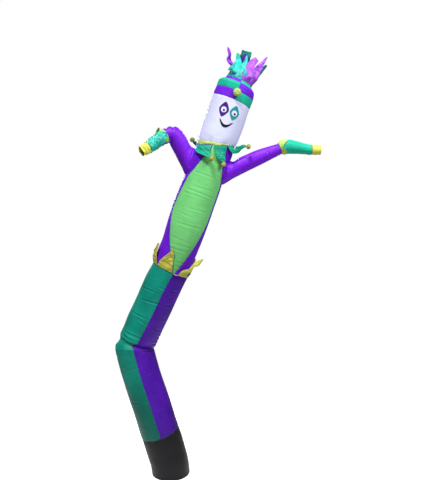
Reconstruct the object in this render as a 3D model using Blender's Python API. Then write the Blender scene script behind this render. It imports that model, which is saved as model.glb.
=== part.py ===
"""An inflatable air dancer in jester dress, blown up and swaying.

The figure is a row of cloth tubes held open by moving air. Each panel is cut flat, wrapped onto
the blown-up form and sewn to its neighbours. Metres, +Z up, the face looks along -Y, and the
origin is the middle of the open foot that straps round the air outlet.
"""

from collections import namedtuple
from math import cos, degrees, pi, radians, sin

import bmesh
import bpy
import numpy as np
from mathutils import Matrix, Vector

# Driving dimensions
CLOTH = 0.002  # coated nylon, with its turned and sewn edges
GAP = 0.0003  # between two pieces that meet at a seam
TUBE = 0.235  # radius of the blown-up body tube, an 18 to 19 inch outlet
BACK_SEAM = 185.0  # where the long seam runs down the back, in degrees from the front
SEAT = 0.004  # how far a loose point lies off the cloth under it
BELL = 0.032  # radius of a bell on the collar
BELL_PRESS = 0.85  # how flat a bell is along its point
HAT_BALL = 0.049  # radius of the ball on the front of the cap
HAT_BALL_PRESS = 0.5  # how flat it is against the cap
HAT_BALL_TURN = 8.0  # where it sits, in degrees from the front

FRONT = Vector((0.0, -1.0, 0.0))

# A ring is a cross-section of a blown-up tube. Tilt turns it in the plane of the picture and
# pitch tips its front down, in degrees; wide and deep are its two radii.
Ring = namedtuple("Ring", "name x y z tilt pitch wide deep")

BODY_RINGS = [
    Ring("hem", 0.000, 0.00, 0.000, 0.0, 0, TUBE, TUBE),
    Ring("cuff_low", -0.014, 0.00, 0.120, 6.0, 0, 0.238, 0.238),
    Ring("cuff_mid", -0.066, 0.01, 0.300, 15.0, 1, 0.240, 0.240),
    Ring("cuff_top", -0.135, 0.02, 0.515, 17.4, 2, 0.240, 0.240),
    Ring("shin_low", -0.265, 0.05, 0.910, 17.4, 2, 0.238, 0.238),
    Ring("shin_high", -0.369, 0.09, 1.205, 17.0, 4, 0.236, 0.236),
    Ring("below_knee", -0.434, 0.11, 1.431, 12.0, 8, 0.236, 0.240),
    Ring("knee_bulge", -0.463, 0.115, 1.552, -4.0, 12, 0.243, 0.246),
    Ring("knee_fold", -0.447, 0.12, 1.600, -15.0, 15, 0.217, 0.214),
    Ring("knee_top", -0.430, 0.11, 1.655, -17.0, 14, 0.238, 0.240),
    Ring("thigh_low", -0.385, 0.09, 1.757, -22.5, 5, 0.240, 0.240),
    Ring("thigh_mid", -0.239, 0.05, 2.056, -24.8, 0, 0.236, 0.236),
    Ring("thigh_high", -0.063, 0.01, 2.440, -24.4, 0, 0.236, 0.236),
    Ring("waist", 0.008, 0.00, 2.572, -26.0, 1, 0.233, 0.233),
    Ring("belly_low", 0.093, 0.00, 2.815, -20.8, 0, 0.243, 0.245),
    Ring("belly_mid", 0.207, 0.00, 3.112, -20.3, 0, 0.248, 0.252),
    Ring("chest_low", 0.313, 0.00, 3.407, -20.1, 0, 0.244, 0.246),
    Ring("chest_high", 0.396, 0.00, 3.628, -19.8, 0, 0.240, 0.240),
    Ring("shoulder", 0.473, 0.00, 3.836, -18.0, 1, 0.238, 0.238),
    Ring("shoulder_top", 0.533, 0.00, 3.994, -12.0, 4, 0.236, 0.236),
    Ring("collar_seam", 0.567, 0.00, 4.100, -4.0, 6, 0.232, 0.232),
    Ring("neck_top", 0.577, 0.00, 4.131, -11.5, 7, 0.236, 0.236),
    Ring("jaw", 0.608, 0.00, 4.212, -16.0, 5, 0.242, 0.244),
    Ring("face_mid", 0.690, 0.00, 4.430, -19.8, 0, 0.243, 0.244),
    Ring("hat_hem", 0.755, 0.00, 4.620, -22.2, 0, 0.240, 0.240),
    Ring("hat_row", 0.797, 0.00, 4.721, -22.4, 0, 0.237, 0.237),
    Ring("hat_shoulder", 0.817, 0.00, 4.788, -22.8, 0, 0.234, 0.234),
    Ring("hat_dome", 0.830, 0.00, 4.822, -22.8, 0, 0.211, 0.211),
    Ring("hat_top", 0.841, 0.00, 4.840, -22.8, 0, 0.173, 0.173),
    Ring("hair_seam", 0.850, 0.00, 4.862, -22.8, 0, 0.166, 0.166),
]

# The sleeves and forearms, from the body outwards. Their rings stand upright in the picture.
LEFT_ARM_RINGS = [
    Ring("inside", 0.334, -0.03, 3.833, 68.6, 0, 0.176, 0.130),
    Ring("root", 0.251, -0.04, 3.900, 72.0, 4, 0.172, 0.135),
    Ring("armpit", 0.205, -0.06, 3.962, 64.3, 10, 0.133, 0.122),
    Ring("arm_mid", 0.162, -0.09, 4.047, 52.4, 14, 0.117, 0.114),
    Ring("arm_high", 0.116, -0.12, 4.131, 42.0, 15, 0.108, 0.108),
    Ring("elbow", 0.050, -0.15, 4.202, 76.0, 22, 0.104, 0.104),
    Ring("sleeve_end", -0.036, -0.18, 4.186, 121.0, 30, 0.084, 0.084),
    Ring("cuff_edge", -0.062, -0.20, 4.168, 123.0, 31, 0.082, 0.080),
    Ring("forearm_mid", -0.135, -0.25, 4.108, 124.0, 31, 0.075, 0.073),
    Ring("band", -0.222, -0.31, 4.036, 124.0, 31, 0.071, 0.069),
    Ring("hand", -0.290, -0.36, 3.984, 122.0, 31, 0.074, 0.072),
]
RIGHT_ARM_RINGS = [
    Ring("inside", 0.602, 0.00, 3.790, -115.0, 0, 0.172, 0.130),
    Ring("root", 0.700, 0.00, 3.758, -115.0, 0, 0.158, 0.132),
    Ring("armpit", 0.823, 0.00, 3.823, -107.0, 0, 0.134, 0.122),
    Ring("arm_mid", 0.976, 0.01, 3.897, -96.5, 0, 0.111, 0.106),
    Ring("arm_high", 1.155, 0.02, 3.977, -79.0, 0, 0.090, 0.088),
    Ring("elbow", 1.270, 0.03, 4.026, -68.0, 0, 0.076, 0.076),
    Ring("sleeve_end", 1.352, 0.03, 4.060, -66.0, 0, 0.068, 0.070),
    Ring("cuff_edge", 1.395, 0.03, 4.075, -76.0, 0, 0.080, 0.080),
    Ring("forearm_mid", 1.471, 0.03, 4.084, -94.0, 0, 0.087, 0.086),
    Ring("forearm_seam", 1.551, 0.03, 4.076, -92.0, 0, 0.077, 0.077),
    Ring("band", 1.743, 0.01, 4.046, -92.0, 0, 0.061, 0.061),
    Ring("hand", 1.850, 0.00, 4.042, -90.0, 0, 0.062, 0.062),
]

# Where the front seam of the legs runs, in degrees round from the front.
LEG_SEAM = [
    ("cuff_top", 10.0),
    ("shin_high", 8.0),
    ("below_knee", 3.0),
    ("knee_bulge", -6.0),
    ("knee_fold", 1.0),
    ("knee_top", 10.0),
    ("thigh_mid", 11.0),
    ("waist", 15.0),
]

# The light belly panel: how far up the body it is, from waist to collar, and its two edges.
Belly = namedtuple("Belly", "share left right")
BELLY = [
    Belly(0.00, 12.0, 17.0),
    Belly(0.05, 5.0, 25.0),
    Belly(0.15, -15.0, 41.0),
    Belly(0.25, -36.0, 53.0),
    Belly(0.36, -53.0, 63.0),
    Belly(0.46, -65.0, 72.0),
    Belly(0.58, -59.0, 72.0),
    Belly(0.70, -50.0, 71.0),
    Belly(0.79, -34.0, 60.0),
    Belly(0.87, -22.0, 42.0),
    Belly(1.00, -6.0, -1.0),
]

COLOURS = {
    "leg_green": (0.004, 0.190, 0.120),
    "leg_purple": (0.052, 0.008, 0.235),
    "belly_green": (0.175, 0.640, 0.175),
    "purple": (0.200, 0.012, 0.720),
    "teal": (0.010, 0.450, 0.300),
    "yellow": (0.640, 0.660, 0.100),
    "gold": (0.420, 0.360, 0.070),
    "white": (0.640, 0.660, 0.900),
    "cap_purple": (0.240, 0.035, 0.800),
    "violet": (0.450, 0.130, 0.850),
    "black": (0.006, 0.006, 0.008),
}


def steady_slopes(at, values):
    """Slopes for a curve through values that never swings past them."""
    step = np.diff(at)[:, None]
    rise = np.diff(values, axis=0) / step
    slopes = np.zeros_like(values)
    slopes[0], slopes[-1] = rise[0], rise[-1]
    before, after = rise[:-1], rise[1:]
    weight_a = 2 * step[1:] + step[:-1]
    weight_b = step[1:] + 2 * step[:-1]
    same_way = before * after > 0
    safe_before = np.where(same_way, before, 1.0)
    safe_after = np.where(same_way, after, 1.0)
    middle = (weight_a + weight_b) / (weight_a / safe_before + weight_b / safe_after)
    slopes[1:-1] = np.where(same_way, middle, 0.0)
    return slopes


class Curve:
    """A smooth curve through rows of values, read at any distance along it."""

    def __init__(self, at, values):
        self.at = np.asarray(at, float)
        self.values = np.asarray(values, float).reshape(len(self.at), -1)
        self.slopes = steady_slopes(self.at, self.values)

    def read(self, s):
        s = min(max(s, self.at[0]), self.at[-1])
        i = min(int(np.searchsorted(self.at, s, side="right")) - 1, len(self.at) - 2)
        step = self.at[i + 1] - self.at[i]
        t = (s - self.at[i]) / step
        return (
            (1 + 2 * t) * (1 - t) ** 2 * self.values[i]
            + t * (1 - t) ** 2 * step * self.slopes[i]
            + t * t * (3 - 2 * t) * self.values[i + 1]
            + t * t * (t - 1) * step * self.slopes[i + 1]
        )


class Form:
    """A blown-up tube: a smooth skin through its rings, read by distance, turn and lift."""

    def __init__(self, rings):
        self.names = [ring.name for ring in rings]
        table = np.array([ring[1:] for ring in rings])
        steps = np.linalg.norm(np.diff(table[:, :3], axis=0), axis=1)
        self.at = np.concatenate([[0.0], np.cumsum(steps)])
        self.curve = Curve(self.at, table)

    def where(self, name, more=0.0):
        return self.at[self.names.index(name)] + more

    def axes(self, s):
        """The ring's middle, its axes to the right, to the front and along, and its radii."""
        x, y, z, tilt, pitch, wide, deep = self.curve.read(s)
        tilt, pitch = radians(tilt), radians(pitch)
        right = Vector((cos(tilt), 0.0, sin(tilt)))
        upright = Vector((-sin(tilt), 0.0, cos(tilt)))
        front = FRONT * cos(pitch) - upright * sin(pitch)
        along = upright * cos(pitch) + FRONT * sin(pitch)
        return Vector((x, y, z)), right, front, along, wide, deep

    def point(self, s, turn, lift=0.0):
        """A point of the skin: turn is in degrees from the front, lift is how far outside it."""
        middle, right, front, _, wide, deep = self.axes(s)
        turn = radians(turn)
        return middle + right * ((wide + lift) * sin(turn)) + front * ((deep + lift) * cos(turn))

    def out(self, s, turn):
        """The direction straight out of the skin there."""
        _, right, front, _, _, _ = self.axes(s)
        return (right * sin(radians(turn)) + front * cos(radians(turn))).normalized()

    def rows(self, first, last, count):
        """Even rows from one named ring to another, held off the seams at both ends."""
        return np.linspace(self.where(first, GAP / 2), self.where(last, -GAP / 2), count + 1)


def add_cloth(name):
    """A cloth finish for one sub-part."""
    material = bpy.data.materials.new(name)
    material.use_nodes = True
    shader = material.node_tree.nodes["Principled BSDF"]
    shader.inputs["Base Color"].default_value = (*COLOURS[name], 1.0)
    shader.inputs["Roughness"].default_value = 0.55
    shader.inputs["Metallic"].default_value = 0.0
    material.diffuse_color = (*COLOURS[name], 1.0)
    return material


def flat_cut(columns, rows):
    """A flat cut of cloth, with points counted across (x), along (y) and through (z, 0 or 1)."""
    mesh = bmesh.new()
    bmesh.ops.create_grid(mesh, x_segments=columns, y_segments=rows, size=0.5)
    for vertex in mesh.verts:
        vertex.co = Vector((vertex.co.x + 0.5, vertex.co.y + 0.5, 0.0))
    thicken(mesh, Vector((0.0, 0.0, 1.0)))
    return mesh


def round_cut(columns, rows):
    """A cut of cloth whose two long edges are joined, as an upright tube of radius 1 to 2."""
    mesh = bmesh.new()
    bmesh.ops.create_grid(mesh, x_segments=columns, y_segments=rows, size=0.5)
    for vertex in mesh.verts:
        turn = 2 * pi * (vertex.co.x + 0.5)
        vertex.co = Vector((cos(turn), sin(turn), vertex.co.y + 0.5))
    bmesh.ops.remove_doubles(mesh, verts=mesh.verts, dist=1e-5)
    thicken(mesh, None)
    return mesh


def thicken(mesh, push):
    """Gives the open sheet its second side, moved by push, or out from the upright axis."""
    grown = bmesh.ops.extrude_face_region(mesh, geom=mesh.faces[:])
    for vertex in grown["geom"]:
        if isinstance(vertex, bmesh.types.BMVert):
            if push is None:
                vertex.co.x, vertex.co.y = 2 * vertex.co.x, 2 * vertex.co.y
            else:
                vertex.co += push


def add_object(name, mesh, finish, collection):
    bmesh.ops.recalc_face_normals(mesh, faces=mesh.faces)
    if mesh.calc_volume(signed=True) < 0:
        bmesh.ops.reverse_faces(mesh, faces=mesh.faces)
    data = bpy.data.meshes.new(name)
    mesh.to_mesh(data)
    mesh.free()
    data.shade_smooth()
    data.set_sharp_from_angle(angle=radians(40))
    if finish is not None:
        data.materials.append(finish)
    made = bpy.data.objects.new(name, data)
    collection.objects.link(made)
    return made


def add_panel(name, form, rows, left, right, columns, finish):
    """A panel between two long seams; left and right give their turns at a distance."""
    mesh = flat_cut(columns, len(rows) - 1)
    for vertex in mesh.verts:
        across, along, through = vertex.co
        s = rows[round(along * (len(rows) - 1))]
        edge = degrees(GAP / 2 / form.axes(s)[4])
        first, last = left(s) + edge, right(s) - edge
        vertex.co = form.point(s, first + (last - first) * across, CLOTH * (through - 1))
    return add_object(name, mesh, finish, parts)


def add_tube(name, form, rows, columns, finish, lift=0.0, flare=0.0, points=0, reach=0.0):
    """A tube of one cut. Its far edge may flare, and may be cut into points that reach out."""
    mesh = round_cut(columns, len(rows) - 1)
    last = len(rows) - 1
    for vertex in mesh.verts:
        turn = degrees(np.arctan2(vertex.co.y, vertex.co.x))
        along, outer = vertex.co.z, vertex.co.xy.length > 1.5
        saw = abs((turn / 360 * points) % 1.0 - 0.5) * 2 if points else 0.0
        s = rows[round(along * last)] + along * saw * reach
        skin = lift + flare * along + (CLOTH if lift else 0.0)
        vertex.co = form.point(s, turn, skin if outer else skin - CLOTH)
    return add_object(name, mesh, finish, parts)


def add_plug(name, form, rows, columns, lift):
    """A solid of the inside of a tube, for cutting."""
    mesh = bmesh.new()
    bmesh.ops.create_grid(mesh, x_segments=columns, y_segments=len(rows) - 1, size=0.5)
    for vertex in mesh.verts:
        turn = 360 * (vertex.co.x + 0.5)
        s = rows[round((vertex.co.y + 0.5) * (len(rows) - 1))]
        vertex.co = form.point(s, turn, lift)
    bmesh.ops.remove_doubles(mesh, verts=mesh.verts, dist=1e-6)
    ends = [edge for edge in mesh.edges if edge.is_boundary]
    bmesh.ops.holes_fill(mesh, edges=ends, sides=0)
    plug = add_object(name, mesh, None, cutters)
    plug.hide_render = True
    plug.display_type = "WIRE"
    return plug


def cut(piece, cutter):
    trim = piece.modifiers.new("cut_by_" + cutter.name, "BOOLEAN")
    trim.operation = "DIFFERENCE"
    trim.solver = "EXACT"
    trim.object = cutter


def add_strip(name, form, s, turns, path, finish, tip, taper, twist, seat):
    """A pointed strip sewn on round part of a ring, from its root along a path of world points."""
    rows, columns = 8, 3
    middle_turn = sum(turns) / 2
    root = form.point(s, middle_turn, seat)
    spots = np.array([root, *path])
    lengths = np.linalg.norm(np.diff(spots, axis=0), axis=1)
    at = np.concatenate([[0.0], np.cumsum(lengths)])
    line = Curve(at, spots)
    spine = [Vector(line.read(at[-1] * i / rows)) for i in range(rows + 1)]
    heads = []
    for i in range(rows + 1):
        before, after = spine[max(i - 1, 0)], spine[min(i + 1, rows)]
        heads.append((after - before).normalized())
    out = form.out(s, middle_turn)
    out = (out - heads[0] * out.dot(heads[0])).normalized()
    frames = [out]
    for i in range(1, rows + 1):
        turned = heads[i - 1].rotation_difference(heads[i]) @ frames[-1]
        frames.append((turned - heads[i] * turned.dot(heads[i])).normalized())
    straight_out = form.out(s, middle_turn)
    side = form.axes(s)[3].cross(straight_out).normalized()
    facing = 1.0 if heads[0].cross(out).dot(side) > 0 else -1.0

    mesh = flat_cut(columns, rows)
    for vertex in mesh.verts:
        across, along, through = vertex.co
        i = round(along * rows)
        share = along**taper
        width = 1 - (1 - tip) * share
        turn = turns[0] + (turns[1] - turns[0]) * across
        arc = form.point(s, turn, seat) - root
        spin = Matrix.Rotation(radians(twist) * along * (2 - along), 3, heads[i])
        normal = spin @ frames[i]
        sideways = heads[i].cross(normal) * facing
        free = min(1.0, 3 * along)
        normal = straight_out.lerp(normal, free).normalized()
        sideways = side.lerp(sideways, free).normalized()
        vertex.co = (
            spine[i]
            + sideways * (arc.dot(side) * width)
            + normal * (arc.dot(straight_out) * width**2 + CLOTH * through)
        )
    add_object(name, mesh, finish, parts)
    return spine[-1], heads[-1]


def on_skin(form, s, turn, steps):
    """World points of a path that lies near the skin: along, round in degrees, and lift."""
    return [form.point(s + along, turn + swing, lift) for along, swing, lift in steps]


def from_root(form, s, turn, steps, seat):
    """World points of a path in the open air, as x, y, z steps from the root."""
    root = form.point(s, turn, seat)
    return [root + Vector(step) for step in steps]


def add_ball(name, middle, axis, radius, flat, finish):
    """A stuffed ball, pressed flatter along one axis."""
    mesh = bmesh.new()
    bmesh.ops.create_uvsphere(mesh, u_segments=10, v_segments=6, radius=radius)
    bmesh.ops.scale(mesh, verts=mesh.verts, vec=(1.0, 1.0, flat))
    swing = Vector((0.0, 0.0, 1.0)).rotation_difference(axis)
    bmesh.ops.rotate(mesh, verts=mesh.verts, cent=(0, 0, 0), matrix=swing.to_matrix())
    bmesh.ops.translate(mesh, verts=mesh.verts, vec=middle)
    return add_object(name, mesh, finish, parts)


def build_legs():
    """The black foot and the two long leg panels, which fold at the knee."""
    rows = body.rows("hem", "cuff_top", 5)
    rows[0] = 0.0
    add_tube("foot_cuff", body, rows, 24, cloth["black"])
    seam = Curve([body.where(name) for name, _ in LEG_SEAM], [turn for _, turn in LEG_SEAM])
    rows = np.concatenate(
        [
            np.linspace(body.where("cuff_top", GAP / 2), body.where("below_knee"), 6)[:-1],
            np.linspace(body.where("below_knee"), body.where("thigh_low"), 12)[:-1],
            np.linspace(body.where("thigh_low"), body.where("waist", -GAP / 2), 7),
        ]
    )

    def front(s):
        return float(seam.read(s)[0])

    add_panel("leg_panel_left", body, rows, back_left, front, 11, cloth["leg_green"])
    add_panel("leg_panel_right", body, rows, front, back_right, 11, cloth["leg_purple"])


def back_left(_):
    return BACK_SEAM - 360


def back_right(_):
    return BACK_SEAM


def build_torso():
    """The light belly panel, and the two purple sides that carry the sleeves."""
    rows = body.rows("waist", "collar_seam", 16)
    start, end = body.where("waist"), body.where("collar_seam")
    edges = Curve([row.share for row in BELLY], [(row.left, row.right) for row in BELLY])

    def belly_left(s):
        return float(edges.read((s - start) / (end - start))[0])

    def belly_right(s):
        return float(edges.read((s - start) / (end - start))[1])

    add_panel("belly_panel", body, rows, belly_left, belly_right, 8, cloth["belly_green"])
    left = add_panel("torso_left", body, rows, back_left, belly_left, 9, cloth["purple"])
    right = add_panel("torso_right", body, rows, belly_right, back_right, 9, cloth["purple"])
    return left, right, rows


def build_arm(side, form, torso_panel, torso_plug):
    """One arm: a sleeve let into the torso, a pointed elbow cuff, a forearm and a wrist band."""
    sleeve_rows = form.rows("inside", "sleeve_end", 8)
    sleeve = add_tube("sleeve_" + side, form, sleeve_rows, 16, cloth["purple"])
    cut(sleeve, torso_plug)
    hole = add_plug("armhole_" + side, form, sleeve_rows, 16, -CLOTH)
    cut(torso_panel, hole)

    rows = form.rows("sleeve_end", "band", 4)
    add_tube("forearm_" + side, form, rows, 16, cloth["teal"])
    rows = [form.where("sleeve_end", 0.006), form.where("sleeve_end", 0.022)]
    add_tube("elbow_cuff_" + side, form, rows, 24, cloth["yellow"], SEAT, 0.006, 4, 0.060)
    add_tube("wrist_band_" + side, form, form.rows("band", "hand", 1), 16, cloth["yellow"])


def build_head():
    """The neck band, the two halves of the white head and the three checked rows of the cap."""
    add_tube("neck_band", body, body.rows("collar_seam", "neck_top", 1), 24, cloth["yellow"])

    def left_side(_):
        return -95.0

    def right_side(_):
        return 95.0

    def round_back(_):
        return 265.0

    rows = body.rows("neck_top", "hat_hem", 6)
    add_panel("head_front", body, rows, left_side, right_side, 11, cloth["white"])
    add_panel("head_back", body, rows, right_side, round_back, 10, cloth["white"])

    def cap_front(_):
        return 10.0

    checks = [
        ("low", "hat_hem", "hat_row", 1, "cap_purple", "teal"),
        ("middle", "hat_row", "hat_dome", 4, "teal", "cap_purple"),
        ("top", "hat_dome", "hair_seam", 2, "cap_purple", "teal"),
    ]
    for level, first, last, count, left_cloth, right_cloth in checks:
        rows = body.rows(first, last, count)
        add_panel("hat_%s_left" % level, body, rows, back_left, cap_front, 11, cloth[left_cloth])
        add_panel("hat_%s_right" % level, body, rows, cap_front, back_right, 11, cloth[right_cloth])

    s = body.where("hat_row", -0.026)
    out = body.out(s, HAT_BALL_TURN)
    middle = body.point(s, HAT_BALL_TURN, GAP) + out * (HAT_BALL * HAT_BALL_PRESS)
    add_ball("hat_ball", middle, out, HAT_BALL, HAT_BALL_PRESS, cloth["yellow"])


# A pointed strip: the turns of its root, then its path. On the skin a step of the path is along,
# degrees round and lift; in the air it is x, y and z from the root. Tip is the width of its end
# as a share of its root, taper above 1 keeps it wide for longer, twist is in degrees.
Point = namedtuple("Point", "name turns tip taper twist place path")

COLLAR = [
    Point(
        "front_left", (-58, -9), 0.16, 1.8, 0, "skin",
        [(-0.07, 6, 0.024), (-0.14, 18, 0.042), (-0.17, 32, 0.056)],
    ),
    Point(
        "front_right", (-1, 35), 0.10, 1.2, 0, "skin",
        [(-0.09, 6, 0.014), (-0.185, 18, 0.040)],
    ),
    Point(
        "right", (39, 84), 0.14, 0.9, 85, "air",
        [(0.04, -0.03, -0.035), (0.10, -0.05, 0.000), (0.165, -0.05, -0.005)],
    ),
    Point(
        "back_right", (125, 170), 0.12, 1.1, 0, "skin",
        [(-0.08, 0, 0.014), (-0.17, 3, 0.040)],
    ),
    Point(
        "back_left", (190, 235), 0.12, 1.1, 0, "skin",
        [(-0.08, 0, 0.014), (-0.17, -3, 0.040)],
    ),
    Point(
        "left", (248, 292), 0.12, 1.0, 0, "air",
        [(-0.030, 0.01, 0.025), (-0.050, 0.05, 0.060)],
    ),
]

BELT = [
    Point("left", (-96, -42), 0.08, 1.1, 0, "skin", [(0.12, 3, 0.014), (0.26, 12, 0.040)]),
    Point("middle", (-40, 9), 0.08, 1.0, 0, "skin", [(0.13, 3, 0.014), (0.27, 9, 0.040)]),
    Point(
        "right", (13, 76), 0.24, 0.6, 150, "air",
        [(0.05, -0.05, 0.03), (0.15, -0.07, 0.07), (0.25, -0.04, 0.12)],
    ),
    Point("back_right", (84, 134), 0.08, 1.0, 0, "skin", [(0.11, 0, 0.014), (0.22, 4, 0.030)]),
    Point("back", (142, 196), 0.08, 1.0, 0, "skin", [(0.11, 0, 0.014), (0.24, -4, 0.030)]),
    Point("back_left", (202, 256), 0.08, 1.0, 0, "skin", [(0.11, 0, 0.014), (0.22, 4, 0.030)]),
]

HAIR = [
    Point(
        "front_left", (-90, -40), 0.30, 2.0, 25, "air",
        [(-0.01, 0.00, 0.11), (0.04, -0.01, 0.20), (0.08, 0.02, 0.29)],
    ),
    Point(
        "front", (-38, 9), 0.35, 2.0, 20, "air",
        [(0.01, -0.03, 0.12), (0.02, -0.04, 0.21), (0.00, -0.02, 0.29)],
    ),
    Point(
        "front_right", (11, 50), 0.60, 1.4, -20, "air",
        [(0.06, -0.02, 0.11), (0.10, -0.04, 0.19), (0.17, -0.03, 0.27)],
    ),
    Point(
        "right", (52, 92), 0.30, 1.6, -30, "air",
        [(0.06, 0.00, 0.10), (0.09, 0.01, 0.20), (0.17, 0.00, 0.32)],
    ),
    Point(
        "far_right", (94, 124), 0.25, 0.9, -60, "air",
        [(0.06, 0.02, 0.09), (0.10, 0.03, 0.16), (0.17, 0.03, 0.24)],
    ),
    Point(
        "back_right", (127, 161), 0.45, 1.2, -30, "air",
        [(0.06, 0.05, 0.16), (0.06, 0.07, 0.26), (0.02, 0.06, 0.34)],
    ),
    Point(
        "back", (164, 206), 0.75, 1.0, 40, "air",
        [(0.03, 0.03, 0.18), (0.02, 0.03, 0.31), (0.10, 0.01, 0.39)],
    ),
    Point(
        "back_left", (210, 238), 0.35, 1.0, 40, "air",
        [(-0.01, 0.04, 0.15), (0.02, 0.08, 0.26), (0.07, 0.10, 0.33)],
    ),
    Point(
        "left", (241, 267), 0.35, 0.8, 200, "air",
        [(0.00, 0.04, 0.09), (-0.05, 0.03, 0.20), (-0.01, 0.02, 0.28), (-0.04, 0.01, 0.37)],
    ),
]
VIOLET_HAIR = ("front_right", "right", "back_right", "back_left", "left")


def build_points(kind, row, s, seat, finish):
    """One pointed strip, and the place and heading of its tip."""
    turn = sum(row.turns) / 2
    if row.place == "air":
        path = from_root(body, s, turn, row.path, seat)
    else:
        path = on_skin(body, s, turn, row.path)
    name = kind + "_" + row.name
    return add_strip(
        name, body, s, row.turns, path, finish, row.tip, row.taper, row.twist, seat
    )


def build_trimmings():
    """The collar with its bells, the belt of points and the hair."""
    for row in COLLAR:
        s = body.where("collar_seam", -0.006)
        end, heading = build_points("collar", row, s, SEAT, cloth["teal"])
        middle = end + heading * (BELL * BELL_PRESS + 2 * GAP)
        add_ball("bell_" + row.name, middle, heading, BELL, BELL_PRESS, cloth["yellow"])
    for row in BELT:
        build_points("belt", row, body.where("waist", 0.006), SEAT, cloth["gold"])
    for row in HAIR:
        colour = "violet" if row.name in VIOLET_HAIR else "teal"
        build_points("hair", row, body.where("hair_seam"), -CLOTH, cloth[colour])


for leftover in list(bpy.data.objects):
    bpy.data.objects.remove(leftover, do_unlink=True)
parts = bpy.data.collections.new("air_dancer")
cutters = bpy.data.collections.new("cutters")
bpy.context.scene.collection.children.link(parts)
bpy.context.scene.collection.children.link(cutters)

cloth = {name: add_cloth(name) for name in COLOURS}
body = Form(BODY_RINGS)

build_legs()
torso_left, torso_right, torso_rows = build_torso()
torso_plug = add_plug("torso_inside", body, torso_rows, 96, GAP)
build_arm("left", Form(LEFT_ARM_RINGS), torso_left, torso_plug)
build_arm("right", Form(RIGHT_ARM_RINGS), torso_right, torso_plug)
build_head()
build_trimmings()
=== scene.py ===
import bmesh
import bpy
import numpy as np
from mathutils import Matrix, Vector


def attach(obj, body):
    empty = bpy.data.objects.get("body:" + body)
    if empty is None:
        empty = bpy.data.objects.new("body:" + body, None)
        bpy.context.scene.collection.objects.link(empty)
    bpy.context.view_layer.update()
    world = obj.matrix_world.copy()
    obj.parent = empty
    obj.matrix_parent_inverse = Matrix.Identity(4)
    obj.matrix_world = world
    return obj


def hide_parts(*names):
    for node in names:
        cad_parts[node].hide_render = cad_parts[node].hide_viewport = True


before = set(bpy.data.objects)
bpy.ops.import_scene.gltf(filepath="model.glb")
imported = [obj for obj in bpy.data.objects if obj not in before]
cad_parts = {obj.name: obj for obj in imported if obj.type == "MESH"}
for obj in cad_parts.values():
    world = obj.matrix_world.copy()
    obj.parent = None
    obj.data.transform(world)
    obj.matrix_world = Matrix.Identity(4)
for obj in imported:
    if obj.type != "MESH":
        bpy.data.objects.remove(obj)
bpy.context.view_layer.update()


# THE BODY TUBE. One long tube of coated ripstop nylon, held open by the air that the fan blows in
# at the foot. Its panels are cut flat, sewn side to side, and take this form when blown up. Each
# ring is a cross-section: middle, tilt and pitch in degrees, and two radii, all in metres.
body_rings = [
    ("hem", 0.000, 0.00, 0.000, 0.0, 0, 0.235, 0.235),
    ("cuff_low", -0.014, 0.00, 0.120, 6.0, 0, 0.238, 0.238),
    ("cuff_mid", -0.066, 0.01, 0.300, 15.0, 1, 0.240, 0.240),
    ("cuff_top", -0.135, 0.02, 0.515, 17.4, 2, 0.240, 0.240),
    ("shin_low", -0.265, 0.05, 0.910, 17.4, 2, 0.238, 0.238),
    ("shin_high", -0.369, 0.09, 1.205, 17.0, 4, 0.236, 0.236),
    ("below_knee", -0.434, 0.11, 1.431, 12.0, 8, 0.236, 0.240),
    ("knee_bulge", -0.463, 0.115, 1.552, -4.0, 12, 0.243, 0.246),
    ("knee_fold", -0.447, 0.12, 1.600, -15.0, 15, 0.217, 0.214),
    ("knee_top", -0.430, 0.11, 1.655, -17.0, 14, 0.238, 0.240),
    ("thigh_low", -0.385, 0.09, 1.757, -22.5, 5, 0.240, 0.240),
    ("thigh_mid", -0.239, 0.05, 2.056, -24.8, 0, 0.236, 0.236),
    ("thigh_high", -0.063, 0.01, 2.440, -24.4, 0, 0.236, 0.236),
    ("waist", 0.008, 0.00, 2.572, -26.0, 1, 0.233, 0.233),
    ("belly_low", 0.093, 0.00, 2.815, -20.8, 0, 0.243, 0.245),
    ("belly_mid", 0.207, 0.00, 3.112, -20.3, 0, 0.248, 0.252),
    ("chest_low", 0.313, 0.00, 3.407, -20.1, 0, 0.244, 0.246),
    ("chest_high", 0.396, 0.00, 3.628, -19.8, 0, 0.240, 0.240),
    ("shoulder", 0.473, 0.00, 3.836, -18.0, 1, 0.238, 0.238),
    ("shoulder_top", 0.533, 0.00, 3.994, -12.0, 4, 0.236, 0.236),
    ("collar_seam", 0.567, 0.00, 4.100, -4.0, 6, 0.232, 0.232),
    ("neck_top", 0.577, 0.00, 4.131, -11.5, 7, 0.236, 0.236),
    ("jaw", 0.608, 0.00, 4.212, -16.0, 5, 0.242, 0.244),
    ("face_mid", 0.690, 0.00, 4.430, -19.8, 0, 0.243, 0.244),
    ("hat_hem", 0.755, 0.00, 4.620, -22.2, 0, 0.240, 0.240),
    ("hat_row", 0.797, 0.00, 4.721, -22.4, 0, 0.237, 0.237),
    ("hat_shoulder", 0.817, 0.00, 4.788, -22.8, 0, 0.234, 0.234),
    ("hat_dome", 0.830, 0.00, 4.822, -22.8, 0, 0.211, 0.211),
    ("hat_top", 0.841, 0.00, 4.840, -22.8, 0, 0.173, 0.173),
    ("hair_seam", 0.850, 0.00, 4.862, -22.8, 0, 0.166, 0.166),
]


def lengths_along(points):
    """How far along a line of points each of them lies."""
    steps = np.linalg.norm(np.diff(points, axis=0), axis=1)
    return np.concatenate([[0.0], np.cumsum(steps)])


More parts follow.
